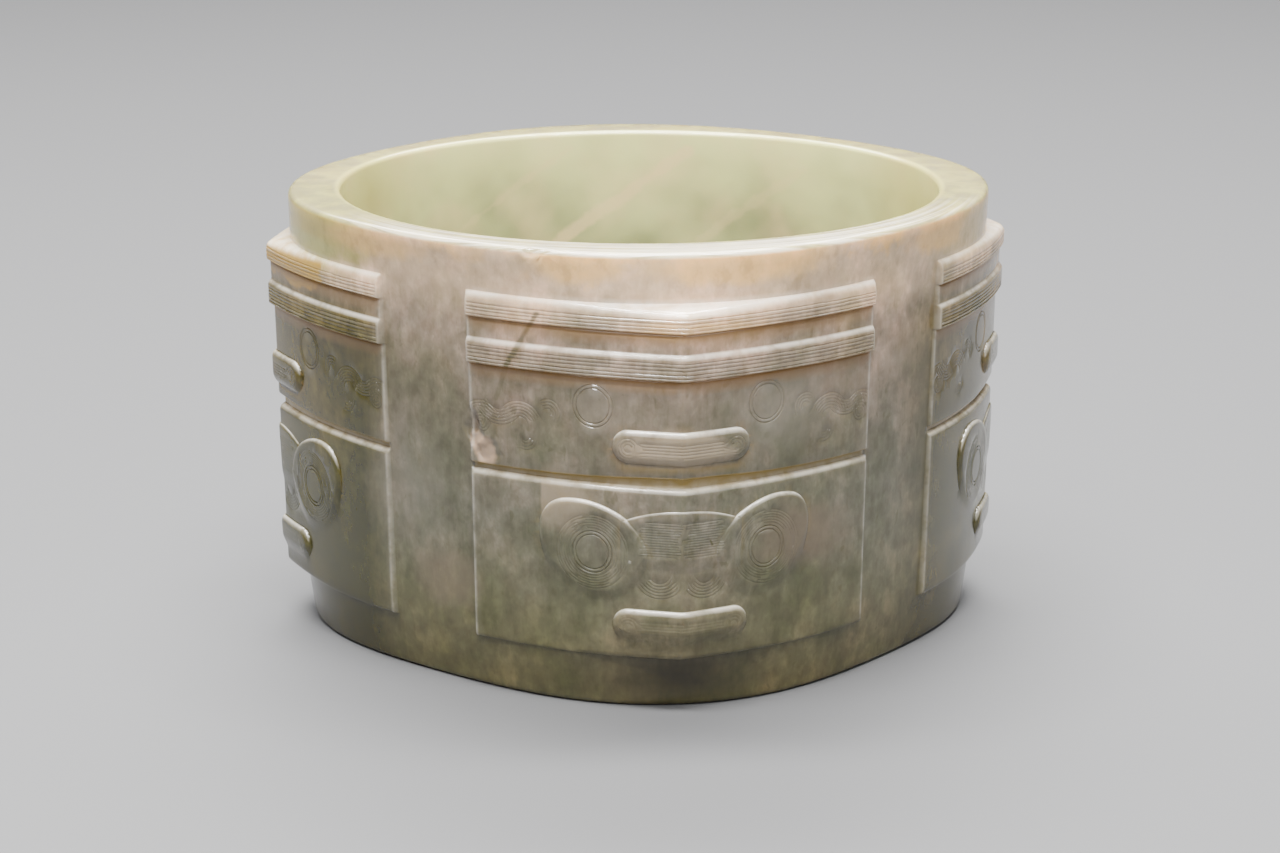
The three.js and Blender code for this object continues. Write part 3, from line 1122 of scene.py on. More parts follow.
@dataclass
class Cong:
    """The whole stone: four carved quarters, the rim and the foot turned in, and the bore."""

    skin: CornerSkin = field(default_factory=CornerSkin)
    ring_steps: int = 4
    rounding_steps: int = 4
    bore_rows: int = 14
    corners: int = 4
    swell: float = 0.05
    swell_width: float = 9.0
    smooth_angle: float = 32.0
    chips: tuple[tuple[Place, Place, float], ...] = (
        ((-18.6, -34.6, 30.6), (1.3, 2.0, 2.6), 0.45),
        ((-17.0, -35.4, 28.2), (1.7, 2.0, 1.7), 0.28),
        ((-12.6, -39.2, 51.7), (2.6, 1.1, 0.8), 0.3),
    )

    def quarters(self) -> bpy.types.Object:
        """Copies the carved quarter to all four corners and joins the copies along the channels.

        Returns:
            The joined quarters, open above and below.
        """
        first = self.skin.build()
        pieces = [first]
        for _ in range(self.corners - 1):
            copy = first.copy()
            copy.data = first.data.copy()
            bpy.context.collection.objects.link(copy)
            pieces.append(copy)
        for turn, piece in enumerate(pieces):
            heading = math.tau * (turn + 0.5) / self.corners
            piece.data.transform(Matrix.Rotation(heading, 4, "Z"))
        only(first)
        for piece in pieces:
            piece.select_set(True)
        bpy.ops.object.join()
        bpy.ops.object.mode_set(mode="EDIT")
        bpy.ops.mesh.select_all(action="SELECT")
        bpy.ops.mesh.remove_doubles(threshold=4e-6)
        bpy.ops.object.mode_set(mode="OBJECT")
        return first

    def select_edge(self, stone: bpy.types.Object, height: float) -> int:
        """Selects the open edge of the stone at a height.

        Args:
            stone: The object in edit mode.
            height: Height of the edge in millimetres.

        Returns:
            How many vertices the edge has.
        """
        bpy.ops.mesh.select_mode(type="VERT")
        mesh = bmesh.from_edit_mesh(stone.data)
        for part in (*mesh.faces, *mesh.edges, *mesh.verts):
            part.select = False
        found = 0
        for edge in mesh.edges:
            if edge.is_boundary and all(abs(vertex.co.z - height * MM) < 1e-6 for vertex in edge.verts):
                edge.select = True
                for vertex in edge.verts:
                    vertex.select = True
                found += 1
        mesh.select_flush_mode()
        bmesh.update_edit_mesh(stone.data)
        return found

    def pull(self, stone: bpy.types.Object, rule: Rule) -> None:
        """Extrudes the selected edge and moves the new edge by a rule."""
        bpy.ops.mesh.extrude_edges_move()
        reshape_selected(stone, rule)

    def turn_in(self, stone: bpy.types.Object, edge: float, end: float, bore: float) -> None:
        """Rounds one end of the tube over, runs its flat ring in and rounds the mouth of the bore.

        Args:
            stone: The object in edit mode.
            edge: Height of the open edge in millimetres.
            end: Height of the flat ring in millimetres.
            bore: Radius of the bore behind its rounded mouth in millimetres.
        """
        tube = self.skin.block.tube
        LOG.info("open edge at %.1f mm has %d sides", edge, self.select_edge(stone, edge))
        rise = end - edge
        mouth = bore + tube.mouth_rounding

        def lay(drop: float, share: float, height: float) -> Rule:
            """Makes a rule that sets a vertex between the outline and the mouth.

            Args:
                drop: How far the outline is drawn in, in millimetres.
                share: How far in the vertex comes, from 0 on the outline to 1 at the mouth.
                height: Its new height in millimetres.

            Returns:
                The rule.
            """
            def rule(spot: Vector) -> Vector:
                """Sets one vertex.

                Args:
                    spot: Its old position in metres.

                Returns:
                    Its new position in metres.
                """
                turn = math.atan2(spot.y, spot.x) % (math.pi / 2) - math.pi / 4
                full = float(tube.radius(np.array([turn]), np.array([edge]))[0]) - drop
                return self.at_radius(spot, full * (1 - share) + mouth * share, height)
            return rule

        for step in range(1, self.rounding_steps + 1):
            angle = math.pi / 2 * step / self.rounding_steps
            drop = tube.rim_rounding * (1 - math.cos(angle))
            self.pull(stone, lay(drop, 0, edge + rise * math.sin(angle)))
        for step in range(1, self.ring_steps + 1):
            self.pull(stone, lay(tube.rim_rounding, step / self.ring_steps, end))
        for step in range(1, self.rounding_steps + 1):
            angle = math.pi / 2 * step / self.rounding_steps
            radius = mouth - tube.mouth_rounding * math.sin(angle)
            height = end - math.copysign(tube.mouth_rounding * (1 - math.cos(angle)), rise)
            self.pull(stone, lambda spot, radius=radius, height=height: self.at_radius(spot, radius, height))

    def at_radius(self, spot: Vector, radius: float, height: float) -> Vector:
        """Moves a place straight in or out to a radius, and up or down to a height, in millimetres."""
        return Vector((*(spot.xy.normalized() * radius * MM), height * MM))

    def drill(self, stone: bpy.types.Object) -> None:
        """Runs the wall of the bore down from the upper mouth and joins it to the lower one.

        Args:
            stone: The object in edit mode, with the edge of the upper mouth selected.
        """
        tube = self.skin.block.tube
        top = tube.height - tube.mouth_rounding
        low = tube.mouth_rounding
        for row in range(1, self.bore_rows):
            height = top + (low - top) * row / self.bore_rows
            radius = tube.bore(height)
            self.pull(stone, lambda spot, radius=radius, height=height: self.at_radius(spot, radius, height))
        mesh = bmesh.from_edit_mesh(stone.data)
        for edge in mesh.edges:
            if edge.is_boundary:
                edge.select = True
        bmesh.update_edit_mesh(stone.data)
        bpy.ops.mesh.bridge_edge_loops()

    def chip(self, stone: bpy.types.Object, centre: Place, size: Place, depth: float) -> None:
        """Breaks a shallow flake out of the stone.

        Args:
            stone: The object in object mode.
            centre: Middle of the flake in millimetres, with the near side towards -Y.
            size: Its half sizes in millimetres.
            depth: How deep it goes in millimetres.
        """
        turn = Matrix.Rotation(math.radians(NEAR_HEADING), 3, "Z")
        smallest_face = (0.12 * MM) ** 2

        def reach(spot: Vector, spread: float) -> float:
            """Measures how far a place is from the middle of the flake.

            Args:
                spot: The place in metres.
                spread: How much larger than the flake the measured form is.

            Returns:
                0 in the middle and 1 at the ragged edge.
            """
            away = turn.inverted() @ spot / MM - Vector(centre)
            ragged = 0.35 * noise.noise(spot / (1.1 * MM))
            return Vector(part / (length * spread) for part, length in zip(away, size)).length + ragged

        only(stone)
        bpy.ops.object.mode_set(mode="EDIT")
        for spread in (1.5, 1.25):
            bpy.ops.mesh.select_mode(type="FACE")
            mesh = bmesh.from_edit_mesh(stone.data)
            for face in mesh.faces:
                large = face.calc_area() > smallest_face
                face.select = large and reach(face.calc_center_median(), spread) < 1
            bmesh.update_edit_mesh(stone.data)
            bpy.ops.mesh.subdivide(number_cuts=1)
        mesh = bmesh.from_edit_mesh(stone.data)
        into = -(turn @ Vector((centre[0], centre[1], 0))).normalized()
        for vertex in mesh.verts:
            share = 1 - reach(vertex.co, 1)
            if share > 0:
                shell = 0.5 + 0.5 * noise.noise(vertex.co / (0.7 * MM) + Vector((7, 0, 0)))
                vertex.co += into * depth * MM * min(1.0, share * 2.2) * (0.65 + 0.5 * shell)
        bmesh.update_edit_mesh(stone.data)
        bpy.ops.object.mode_set(mode="OBJECT")

    def wear(self, stone: bpy.types.Object) -> None:
        """Lets the hand-worked surface swell and sink a little, as ground and polished stone does.

        Args:
            stone: The object in object mode.
        """
        height = self.skin.block.tube.height
        mesh = stone.data
        moved = np.empty(len(mesh.vertices) * 3)
        mesh.vertices.foreach_get("co", moved)
        moved = moved.reshape(-1, 3)
        normals = np.empty(len(mesh.vertices) * 3)
        mesh.vertices.foreach_get("normal", normals)
        normals = normals.reshape(-1, 3)
        for index, spot in enumerate(moved.tolist()):
            broad = noise.noise(Vector(spot) / (self.swell_width * MM))
            flat_end = min(1.0, spot[2] / MM / 2, (height - spot[2] / MM) / 2)
            moved[index] += normals[index] * self.swell * MM * broad * max(0.0, flat_end)
        mesh.vertices.foreach_set("co", moved.ravel())
        mesh.update()

    def build(self) -> bpy.types.Object:
        """Makes the whole stone as one closed mesh.

        Returns:
            The finished object, at the origin.
        """
        stone = self.quarters()
        stone.name = "cong_stone"
        stone.data.name = "cong_stone"
        tube = self.skin.block.tube
        only(stone)
        bpy.ops.object.mode_set(mode="EDIT")
        for edge, end, behind in (
            (tube.rim_rounding, 0.0, tube.mouth_rounding),
            (tube.height - tube.rim_rounding, tube.height, tube.height - tube.mouth_rounding),
        ):
            self.turn_in(stone, edge, end, tube.bore(behind))
        self.drill(stone)
        bpy.ops.mesh.select_all(action="SELECT")
        bpy.ops.mesh.remove_doubles(threshold=2e-6)
        bpy.ops.mesh.normals_make_consistent(inside=False)
        bpy.ops.object.mode_set(mode="OBJECT")
        self.wear(stone)
        for centre, size, depth in self.chips:
            self.chip(stone, centre, size, depth)
        bpy.ops.object.shade_smooth_by_angle(angle=math.radians(self.smooth_angle))
        return stone


Socket = bpy.types.NodeSocket


class Bench:
    """Lays out the shader nodes of one finish and links them up."""

    def __init__(self, name: str, heading: float) -> None:
        """Starts a finish, with the cong's own coordinates in millimetres and its near corner towards -Y.

        Args:
            name: Name of the material.
            heading: How far the near side is turned round the bore, in degrees.
        """
        self.material = bpy.data.materials.new(name)
        self.material.use_nodes = True
        self.tree = self.material.node_tree
        self.shader = self.tree.nodes["Principled BSDF"]
        own = self.tree.nodes.new("ShaderNodeTexCoord").outputs["Object"]
        turned = self.tree.nodes.new("ShaderNodeMapping")
        turned.inputs["Rotation"].default_value = (0, 0, math.radians(-heading))
        turned.inputs["Scale"].default_value = (1 / MM,) * 3
        self.tree.links.new(own, turned.inputs["Vector"])
        self.spot = turned.outputs["Vector"]
        parts = self.tree.nodes.new("ShaderNodeSeparateXYZ")
        self.tree.links.new(self.spot, parts.inputs["Vector"])
        self.across, self.deep, self.rise = parts.outputs

    def feed(self, socket: Socket, value: Socket | float | tuple[float, ...]) -> None:
        """Links a socket to another one or sets its value.

        Args:
            socket: The socket that takes it.
            value: Another socket, or a value.
        """
        if isinstance(value, bpy.types.NodeSocket):
            self.tree.links.new(value, socket)
        else:
            socket.default_value = value

    def sum(self, operation: str, *values: Socket | float) -> Socket:
        """Works out one sum.

        Args:
            operation: Name of the sum, as the Math node calls it.
            values: What goes in.

        Returns:
            The result.
        """
        node = self.tree.nodes.new("ShaderNodeMath")
        node.operation = operation
        for socket, value in zip(node.inputs, values):
            self.feed(socket, value)
        return node.outputs["Value"]

    def times(self, first: Socket | float, second: Socket | float) -> Socket:
        """Multiplies two values."""
        return self.sum("MULTIPLY", first, second)

    def drawn(self, value: Socket, wander: Socket, reach: float) -> Socket:
        """Draws a value up and down by a cloud, by half of the reach either way."""
        return self.sum("ADD", value, self.times(self.sum("SUBTRACT", wander, 0.5), reach))

    def mark(self, name: str) -> Socket:
        """Reads a mark that is kept on the mesh.

        Args:
            name: Name of the mark.

        Returns:
            Its value.
        """
        node = self.tree.nodes.new("ShaderNodeAttribute")
        node.attribute_name = name
        return node.outputs["Fac"]

    def rough(self, height: Socket, strength: float, depth: float, under: Socket | None = None) -> Socket:
        """Roughens the surface.

        Args:
            height: How high it stands, from 0 to 1.
            strength: How much of the roughening shows.
            depth: Its depth in millimetres.
            under: Roughening that it is laid over.

        Returns:
            The roughened normal.
        """
        node = self.tree.nodes.new("ShaderNodeBump")
        node.inputs["Strength"].default_value = strength
        node.inputs["Distance"].default_value = depth * MM
        self.feed(node.inputs["Height"], height)
        if under is not None:
            self.feed(node.inputs["Normal"], under)
        return node.outputs["Normal"]

    def vector(self, operation: str, first: Socket | Place, second: Socket | Place) -> Socket:
        """Works out one sum on vectors.

        Args:
            operation: Name of the sum, as the Vector Math node calls it.
            first: What goes in first.
            second: What goes in next.

        Returns:
            The result: a number for a length or a product, and otherwise a vector.
        """
        node = self.tree.nodes.new("ShaderNodeVectorMath")
        node.operation = operation
        self.feed(node.inputs[0], first)
        self.feed(node.inputs[1], second)
        return node.outputs["Value" if operation in ("LENGTH", "DOT_PRODUCT") else "Vector"]

    def fade(
        self, value: Socket, low: float, high: float, at_low: float = 0.0, at_high: float = 1.0
    ) -> Socket:
        """Turns a value into a soft step.

        Args:
            value: What is read.
            low: Where the step starts.
            high: Where it ends.
            at_low: Result at and under the start.
            at_high: Result at and over the end.

        Returns:
            The step.
        """
        node = self.tree.nodes.new("ShaderNodeMapRange")
        node.interpolation_type = "SMOOTHSTEP"
        for name, number in zip(("From Min", "From Max", "To Min", "To Max"), (low, high, at_low, at_high)):
            node.inputs[name].default_value = number
        self.feed(node.inputs["Value"], value)
        return node.outputs["Result"]

    def cloud(
        self, size: float, detail: float = 2.0, rough: float = 0.55,
        stretch: Place = (1, 1, 1), warp: float = 0.0,
    ) -> Socket:
        """Makes a cloudy pattern.

        Args:
            size: Width of its clouds in millimetres.
            detail: How many finer layers it has.
            rough: Strength of the finer layers.
            stretch: How much longer the clouds are along each direction.
            warp: How far they are drawn out of shape.

        Returns:
            A value about 0.5.
        """
        scaled = self.vector("MULTIPLY", self.spot, tuple(1 / (size * long) for long in stretch))
        node = self.tree.nodes.new("ShaderNodeTexNoise")
        self.feed(node.inputs["Vector"], scaled)
        node.inputs["Scale"].default_value = 1.0
        node.inputs["Detail"].default_value = detail
        node.inputs["Roughness"].default_value = rough
        node.inputs["Distortion"].default_value = warp
        return node.outputs["Fac"]

    def mix(
        self, share: Socket | float, under: Socket | Tint, over: Socket | Tint, blend: str = "MIX"
    ) -> Socket:
        """Lays one colour over another.

        Args:
            share: How much of the upper colour shows.
            under: The lower colour.
            over: The upper colour.
            blend: Name of the blend.

        Returns:
            The mixed colour.
        """
        node = self.tree.nodes.new("ShaderNodeMix")
        node.data_type = "RGBA"
        node.blend_type = blend
        self.feed(node.inputs[0], share)
        for socket, value in ((node.inputs[6], under), (node.inputs[7], over)):
            self.feed(socket, value if isinstance(value, bpy.types.NodeSocket) else (*value, 1))
        return node.outputs[2]

    def grade(self, value: Socket, stops: dict[float, Tint]) -> Socket:
        """Runs a value through a row of colours.

        Args:
            value: What is read, from 0 to 1.
            stops: The colour at each place.

        Returns:
            The colour.
        """
        node = self.tree.nodes.new("ShaderNodeValToRGB")
        while len(node.color_ramp.elements) < len(stops):
            node.color_ramp.elements.new(0.5)
        for element, (place, colour) in zip(node.color_ramp.elements, sorted(stops.items())):
            element.position = place
            element.color = (*colour, 1)
        self.feed(node.inputs["Fac"], value)
        return node.outputs["Color"]

    def blot(self, centre: Place, size: Place, wander: Socket, edge: float = 0.35) -> Socket:
        """Marks one blot on the stone.

        Args:
            centre: Its middle in millimetres.
            size: Its half sizes in millimetres.
            wander: A cloud that draws its edge out of shape.
            edge: Softness of its edge.

        Returns:
            1 inside the blot and 0 outside.
        """
        reach = self.vector("DIVIDE", self.vector("SUBTRACT", self.spot, centre), size)
        ragged = self.drawn(self.vector("LENGTH", reach, (0, 0, 0)), wander, 1.4)
        return self.fade(ragged, 1 - edge, 1 + edge, 1.0, 0.0)

    def streak(self, start: Place, end: Place, half_width: float, wander: Socket, sway: float) -> Socket:
        """Marks one vein that runs straight between two places but for a little sway.

        Args:
            start: One end in millimetres.
            end: The other end.
            half_width: Half its width in millimetres.
            wander: A cloud that bends it.
            sway: How far it bends, in millimetres.

        Returns:
            1 on the vein and 0 beside it.
        """
        flatten = (1.0, 0.15, 1.0)
        run = (Vector(end) - Vector(start)) * Vector(flatten)
        away = self.vector("MULTIPLY", self.vector("SUBTRACT", self.spot, start), flatten)
        share = self.sum("DIVIDE", self.vector("DOT_PRODUCT", away, tuple(run)), run.length_squared)
        held = self.sum("MINIMUM", self.sum("MAXIMUM", share, 0.0), 1.0)
        foot = self.tree.nodes.new("ShaderNodeVectorMath")
        foot.operation = "SCALE"
        foot.inputs[0].default_value = tuple(run)
        self.feed(foot.inputs["Scale"], held)
        gap = self.vector("SUBTRACT", away, foot.outputs["Vector"])
        bent = self.drawn(self.vector("LENGTH", gap, (0, 0, 0)), wander, 2 * sway)
        return self.fade(self.sum("ABSOLUTE", bent), half_width * 0.4, half_width * 1.3, 1.0, 0.0)


@dataclass(frozen=True)
class Jade:
    """Polished jade, weathered: buff above, olive below, amber at the rim and pale green in the bore, with
    painted shade, painted highlights and painted glow laid on.
    """

    name: str = "jade"
    heading: float = NEAR_HEADING
    height: float = 52.0
    foot_olive: Tint = (0.072, 0.062, 0.022)
    low_olive: Tint = (0.072, 0.067, 0.032)
    grey_green: Tint = (0.088, 0.081, 0.055)
    grey_buff: Tint = (0.115, 0.094, 0.064)
    band_buff: Tint = (0.21, 0.157, 0.108)
    collar_buff: Tint = (0.50, 0.36, 0.23)
    rim_pale: Tint = (0.20, 0.185, 0.095)
    cream: Tint = (0.70, 0.42, 0.14)
    amber: Tint = (0.34, 0.205, 0.04)
    yellow_green: Tint = (0.33, 0.27, 0.06)
    pale_green: Tint = (0.33, 0.31, 0.105)
    buff_patch: Tint = (0.25, 0.195, 0.13)
    mauve_patch: Tint = (0.14, 0.10, 0.07)
    # Bore colours: pale yellow-green with a painted glow at the mouth, grey with painted shade deeper down.
    bore_pale_glow: Tint = (0.50, 0.495, 0.195)
    bore_grey_shade: Tint = (0.125, 0.135, 0.062)
    bore_warm: Tint = (0.55, 0.40, 0.19)
    # Painted shade colours: brown shade under the bands and upper forms, an amber painted glow and shade in
    # the register groove, and near-black painted shadow low down.
    shade_tint: Tint = (0.27, 0.145, 0.05)
    groove_glow: Tint = (0.27, 0.17, 0.012)
    foot_shadow: Tint = (0.015, 0.011, 0.002)
    vein: Tint = (0.045, 0.042, 0.012)
    fracture: Tint = (0.31, 0.215, 0.145)
    pit: Tint = (0.075, 0.05, 0.028)
    light_patch: Tint = (0.155, 0.142, 0.108)
    # Pale wear colour, laid on up-facing and side edges as a painted highlight and on the near rim as painted
    # highlight streaks.
    wear_and_highlight: Tint = (0.76, 0.71, 0.62)

    def skin(self, bench: Bench) -> Socket:
        """Colours the outside: a run of tones from foot to rim, clouded and streaked, with painted shade on
        the left and right blocks.

        Args:
            bench: Where the finish is laid out.

        Returns:
            The colour.
        """
        broad = bench.cloud(12, 3, 0.5, (1, 1, 1.2))
        wisps = bench.cloud(4.2, 4, 0.6, (1, 1, 1.25))
        blotch = bench.cloud(1.7, 3, 0.6, (1, 1, 1.2))
        grain = bench.cloud(0.8, 3, 0.65, (1, 1, 5))
        level = bench.sum("DIVIDE", bench.drawn(bench.rise, broad, 16.0), self.height)
        plain = bench.grade(level, {
            0.03: self.foot_olive, 0.2: self.low_olive, 0.4: self.grey_green, 0.62: self.grey_buff,
            0.82: self.band_buff, 0.92: self.collar_buff,
        })
        tone = plain
        for pattern, low, high, tint in (
            (broad, 0.5, 0.68, (1.32, 1.2, 1.2)), (broad, 0.5, 0.34, (0.78, 0.83, 0.7)),
            (blotch, 0.5, 0.66, (1.22, 1.24, 1.27)), (blotch, 0.5, 0.35, (0.82, 0.8, 0.76)),
            (wisps, 0.5, 0.66, (1.42, 1.36, 1.42)), (wisps, 0.5, 0.33, (0.72, 0.76, 0.65)),
            (grain, 0.5, 0.75, (1.16, 1.14, 1.18)), (grain, 0.5, 0.27, (0.84, 0.86, 0.8)),
        ):
            tone = bench.mix(bench.fade(pattern, low, high), tone, tint, "MULTIPLY")
        tone = bench.mix(bench.fade(bench.rise, 41, 48.5, 0.08, 0.6), tone, plain)
        specks = bench.fade(bench.cloud(1.5, 2, 0.5, (1, 1, 1.6), 0.5), 0.63, 0.74, 0, 0.45)
        tone = bench.mix(bench.times(specks, bench.fade(bench.rise, 36, 47, 1, 0.1)), tone, self.vein)
        # Painted shade on the left and right blocks, which face away from the light: their bodies are
        # darkened and turned more olive.
        body = bench.fade(bench.rise, 39, 46, 1, 0)
        left = bench.times(bench.fade(bench.across, -27, -32), body)
        right = bench.times(bench.fade(bench.across, 28, 34), body)
        tone = bench.mix(left, tone, (0.46, 0.44, 0.14), "MULTIPLY")
        return bench.mix(right, tone, (0.52, 0.5, 0.26), "MULTIPLY")

    def stains(self, bench: Bench, tone: Socket) -> Socket:
        """Lays the cream and amber stains of the rim and the blocks' edges over the skin.

        Args:
            bench: Where the finish is laid out.
            tone: The colour so far.

        Returns:
            The colour with the stains on it.
        """
        ragged = bench.cloud(4.5, 4, 0.62)
        reach = bench.drawn(bench.rise, ragged, 14.0)
        patchy = bench.fade(bench.cloud(12, 2, 0.5), 0.42, 0.58, 0.25, 0.8)
        tone = bench.mix(bench.times(bench.fade(reach, 49.0, 51.6), patchy), tone, self.cream)
        for centre, size, edge, colour, strength in (
            # The yellow-green blots at the left and right ends of the collar are partly the stone's colour
            # and partly a painted glow through its thin ends.
            ((-37, -14, 50.0), (9, 14, 5.0), 0.4, self.yellow_green, 0.9),
            ((-30, -25, 50.0), (6, 9, 1.3), 0.5, self.cream, 0.6),
            ((38, -12, 50.2), (7, 12, 4.2), 0.4, self.yellow_green, 0.5),
            ((34, -20, 50.4), (4, 8, 2.6), 0.3, self.cream, 0.7),
            ((-40.8, -9, 44.9), (6.6, 13, 2.7), 0.1, self.amber, 0.9),
            ((37.6, -20, 50.6), (1.6, 3, 0.8), 0.4, self.cream, 0.9),
            ((-38, -12, 47.6), (6, 13, 1.2), 0.4, self.pale_green, 0.8),
            ((12, -41, 50.6), (10, 8, 2.3), 0.35, self.cream, 0.75),
            ((-7, -42, 50.6), (4.6, 8, 2.2), 0.35, self.cream, 0.7),
            ((6, -43, 43.9), (7, 6, 1.1), 0.5, self.cream, 0.45),
            ((4.8, -44, 30.4), (7, 5, 2.1), 0.3, self.buff_patch, 0.7),
            ((19, -37, 19), (5.5, 8, 3.6), 0.5, self.mauve_patch, 0.55),
            ((16, -38, 34.5), (7, 8, 4.5), 0.7, self.light_patch, 0.55),
            ((-3, -42, 35.5), (4, 6, 3), 0.7, self.light_patch, 0.3),
            ((-27, -30, 22), (5, 8, 6), 0.7, self.light_patch, 0.35),
            ((-22, -33, 12), (3.5, 8, 3.5), 0.5, self.mauve_patch, 0.4),
        ):
            tone = bench.mix(bench.times(bench.blot(centre, size, ragged, edge), strength), tone, colour)
        flecks = bench.cloud(2.2, 4, 0.65, (1, 1, 1.4))
        high = bench.fade(bench.rise, 44, 48)
        for end, tint in ((0.3, (0.8, 0.8, 0.76)), (0.7, (1.14, 1.12, 1.14))):
            tone = bench.mix(bench.times(bench.fade(flecks, 0.5, end), high), tone, tint, "MULTIPLY")
        right_of_line = bench.fade(bench.across, -11.0, -10.7)
        patch = bench.blot((-9.4, -40, 24.0), (3.6, 9, 2.8), ragged, 0.6)
        patch = bench.times(patch, bench.times(right_of_line, 0.6))
        return bench.mix(patch, tone, self.buff_patch)

    def marks(self, bench: Bench, tone: Socket) -> Socket:
        """Draws what is only colour on the near corner: a dark green vein and a pale fracture with a pit.

        Args:
            bench: Where the finish is laid out.
            tone: The colour so far.

        Returns:
            The colour with the marks on it.
        """
        bend = bench.cloud(3, 3, 0.6)
        for start, end, width, strength in (
            ((-11.2, -38.5, 44.8), (-14.6, -36.6, 38.6), 0.36, 0.65),
            ((-14.6, -36.6, 38.6), (-15.8, -36.0, 34.5), 0.3, 0.35),
            ((7.8, -42.0, 20.0), (8.0, -42.0, 19.5), 0.2, 0.9),
        ):
            vein = bench.streak(start, end, width, bend, 0.3)
            tone = bench.mix(bench.times(vein, strength), tone, self.vein)
        for centre, size, colour in (
            ((-17.1, -35.5, 28.1), (1.4, 3, 1.6), self.fracture),
            ((-18.2, -35.0, 29.4), (0.8, 3, 1.0), self.fracture),
            ((-18.2, -35.0, 31.4), (0.45, 3, 1.2), self.pit),
        ):
            patch = bench.blot(centre, size, bend, 0.2)
            tone = bench.mix(bench.times(patch, 0.75), tone, colour)
        return tone

    def bore(self, bench: Bench) -> Socket:
        """Colours the bore: pale yellow-green at its mouth with a painted glow, greyer and darker below as
        painted shade, a painted yellow-green glow at its left and right sides, and pale veins across.

        Args:
            bench: Where the finish is laid out.

        Returns:
            The colour.
        """
        broad = bench.cloud(9, 2, 0.45, (1, 1, 0.8))
        level = bench.drawn(bench.rise, broad, 20.0)
        # Painted glow at the mouth, fading to painted shade deeper in the bore.
        tone = bench.mix(bench.fade(level, 29, 55), self.bore_grey_shade, self.bore_pale_glow)
        warm = bench.fade(bench.cloud(7, 2, 0.5), 0.4, 0.85, 0, 0.5)
        warm = bench.sum("MULTIPLY", warm, bench.fade(bench.rise, 20, 44, 0.2, 1))
        tone = bench.mix(warm, tone, self.bore_warm)
        # Painted yellow-green glow where the wall shows thin, at the left and right.
        side_glow = bench.fade(bench.sum("ABSOLUTE", bench.across), 27, 34, 0, 0.5)
        tone = bench.mix(bench.times(side_glow, bench.fade(bench.rise, 38, 48)), tone, self.yellow_green)
        bend = bench.cloud(5, 3, 0.6)
        for start, end, width, strength in (
            ((6.3, 35, 49.5), (-13, 33, 36), 0.8, 0.55),
            ((-9, 34, 50), (-24, 26, 40), 0.6, 0.25),
            ((21, 29, 48), (8, 34, 38), 0.7, 0.2),
        ):
            vein = bench.streak(start, end, width, bend, 1.3)
            tone = bench.mix(bench.times(vein, strength), tone, self.bore_warm)
        return tone

    def colour(self, bench: Bench) -> Socket:
        """Puts the outside, the rim and the bore together.

        Args:
            bench: Where the finish is laid out.

        Returns:
            The colour of the whole stone.
        """
        tone = self.marks(bench, self.stains(bench, self.skin(bench)))
        # Painted shade from the shade mark: amber in the groove, brown higher up, near-black towards the
        # foot.
        shade_tint = bench.mix(bench.fade(bench.rise, 27, 31), self.groove_glow, self.shade_tint)
        shade_tint = bench.mix(bench.fade(bench.rise, 24, 14), shade_tint, self.foot_shadow)
        tone = bench.mix(bench.times(bench.mark("painted_shade"), 0.88), tone, shade_tint)
        # Pale wear with a painted highlight on up-facing edges and the blocks' side edges, fainter low down.
        uneven = bench.fade(bench.cloud(2.6, 3, 0.6), 0.36, 0.58, 0.45, 1)
        share = bench.times(bench.times(bench.mark("wear_and_highlight"), uneven), 0.55)
        tone = bench.mix(bench.times(share, bench.fade(bench.rise, 15, 44, 0.8, 1)), tone, self.wear_and_highlight)
        out = bench.vector("LENGTH", bench.vector("MULTIPLY", bench.spot, (1, 1, 0)), (0, 0, 0))
        streaks = bench.cloud(3.5, 3, 0.6)
        pale = bench.mix(bench.fade(streaks, 0.35, 0.65, 0, 0.7), self.rim_pale, self.pale_green)
        # Painted highlight streaks, laid as scuffs, on the near part of the rim top.
        pale = bench.mix(self.scuffs_and_highlight(bench, out), pale, self.wear_and_highlight)
        tone = bench.mix(bench.fade(bench.rise, 51.3, 51.7, 0, 0.9), tone, pale)
        return bench.mix(bench.fade(out, 35.9, 36.6, 1, 0), tone, self.bore(bench))

    def scuffs_and_highlight(self, bench: Bench, out: Socket) -> Socket:
        """Marks fine pale streaks that run round the near part of the rim: scuffs with a painted highlight.

        Args:
            bench: Where the finish is laid out.
            out: Distance from the axis of the bore in millimetres.

        Returns:
            How pale the streaks are, from 0 to 1.
        """
        place = bench.tree.nodes.new("ShaderNodeCombineXYZ")
        for socket, value, size in zip(place.inputs, (out, bench.across, bench.deep), (0.28, 30.0, 30.0)):
            bench.feed(socket, bench.sum("DIVIDE", value, size))
        lines = bench.tree.nodes.new("ShaderNodeTexNoise")
        lines.inputs["Scale"].default_value = 1.0
        lines.inputs["Detail"].default_value = 2.0
        bench.feed(lines.inputs["Vector"], place.outputs["Vector"])
        # Only the part of the rim towards the camera gets the painted streaks.
        near = bench.fade(bench.sum("ADD", bench.deep, bench.times(bench.across, -0.15)), -12, -30)
        return bench.times(bench.fade(lines.outputs["Fac"], 0.4, 0.6, 0.05, 0.6), near)

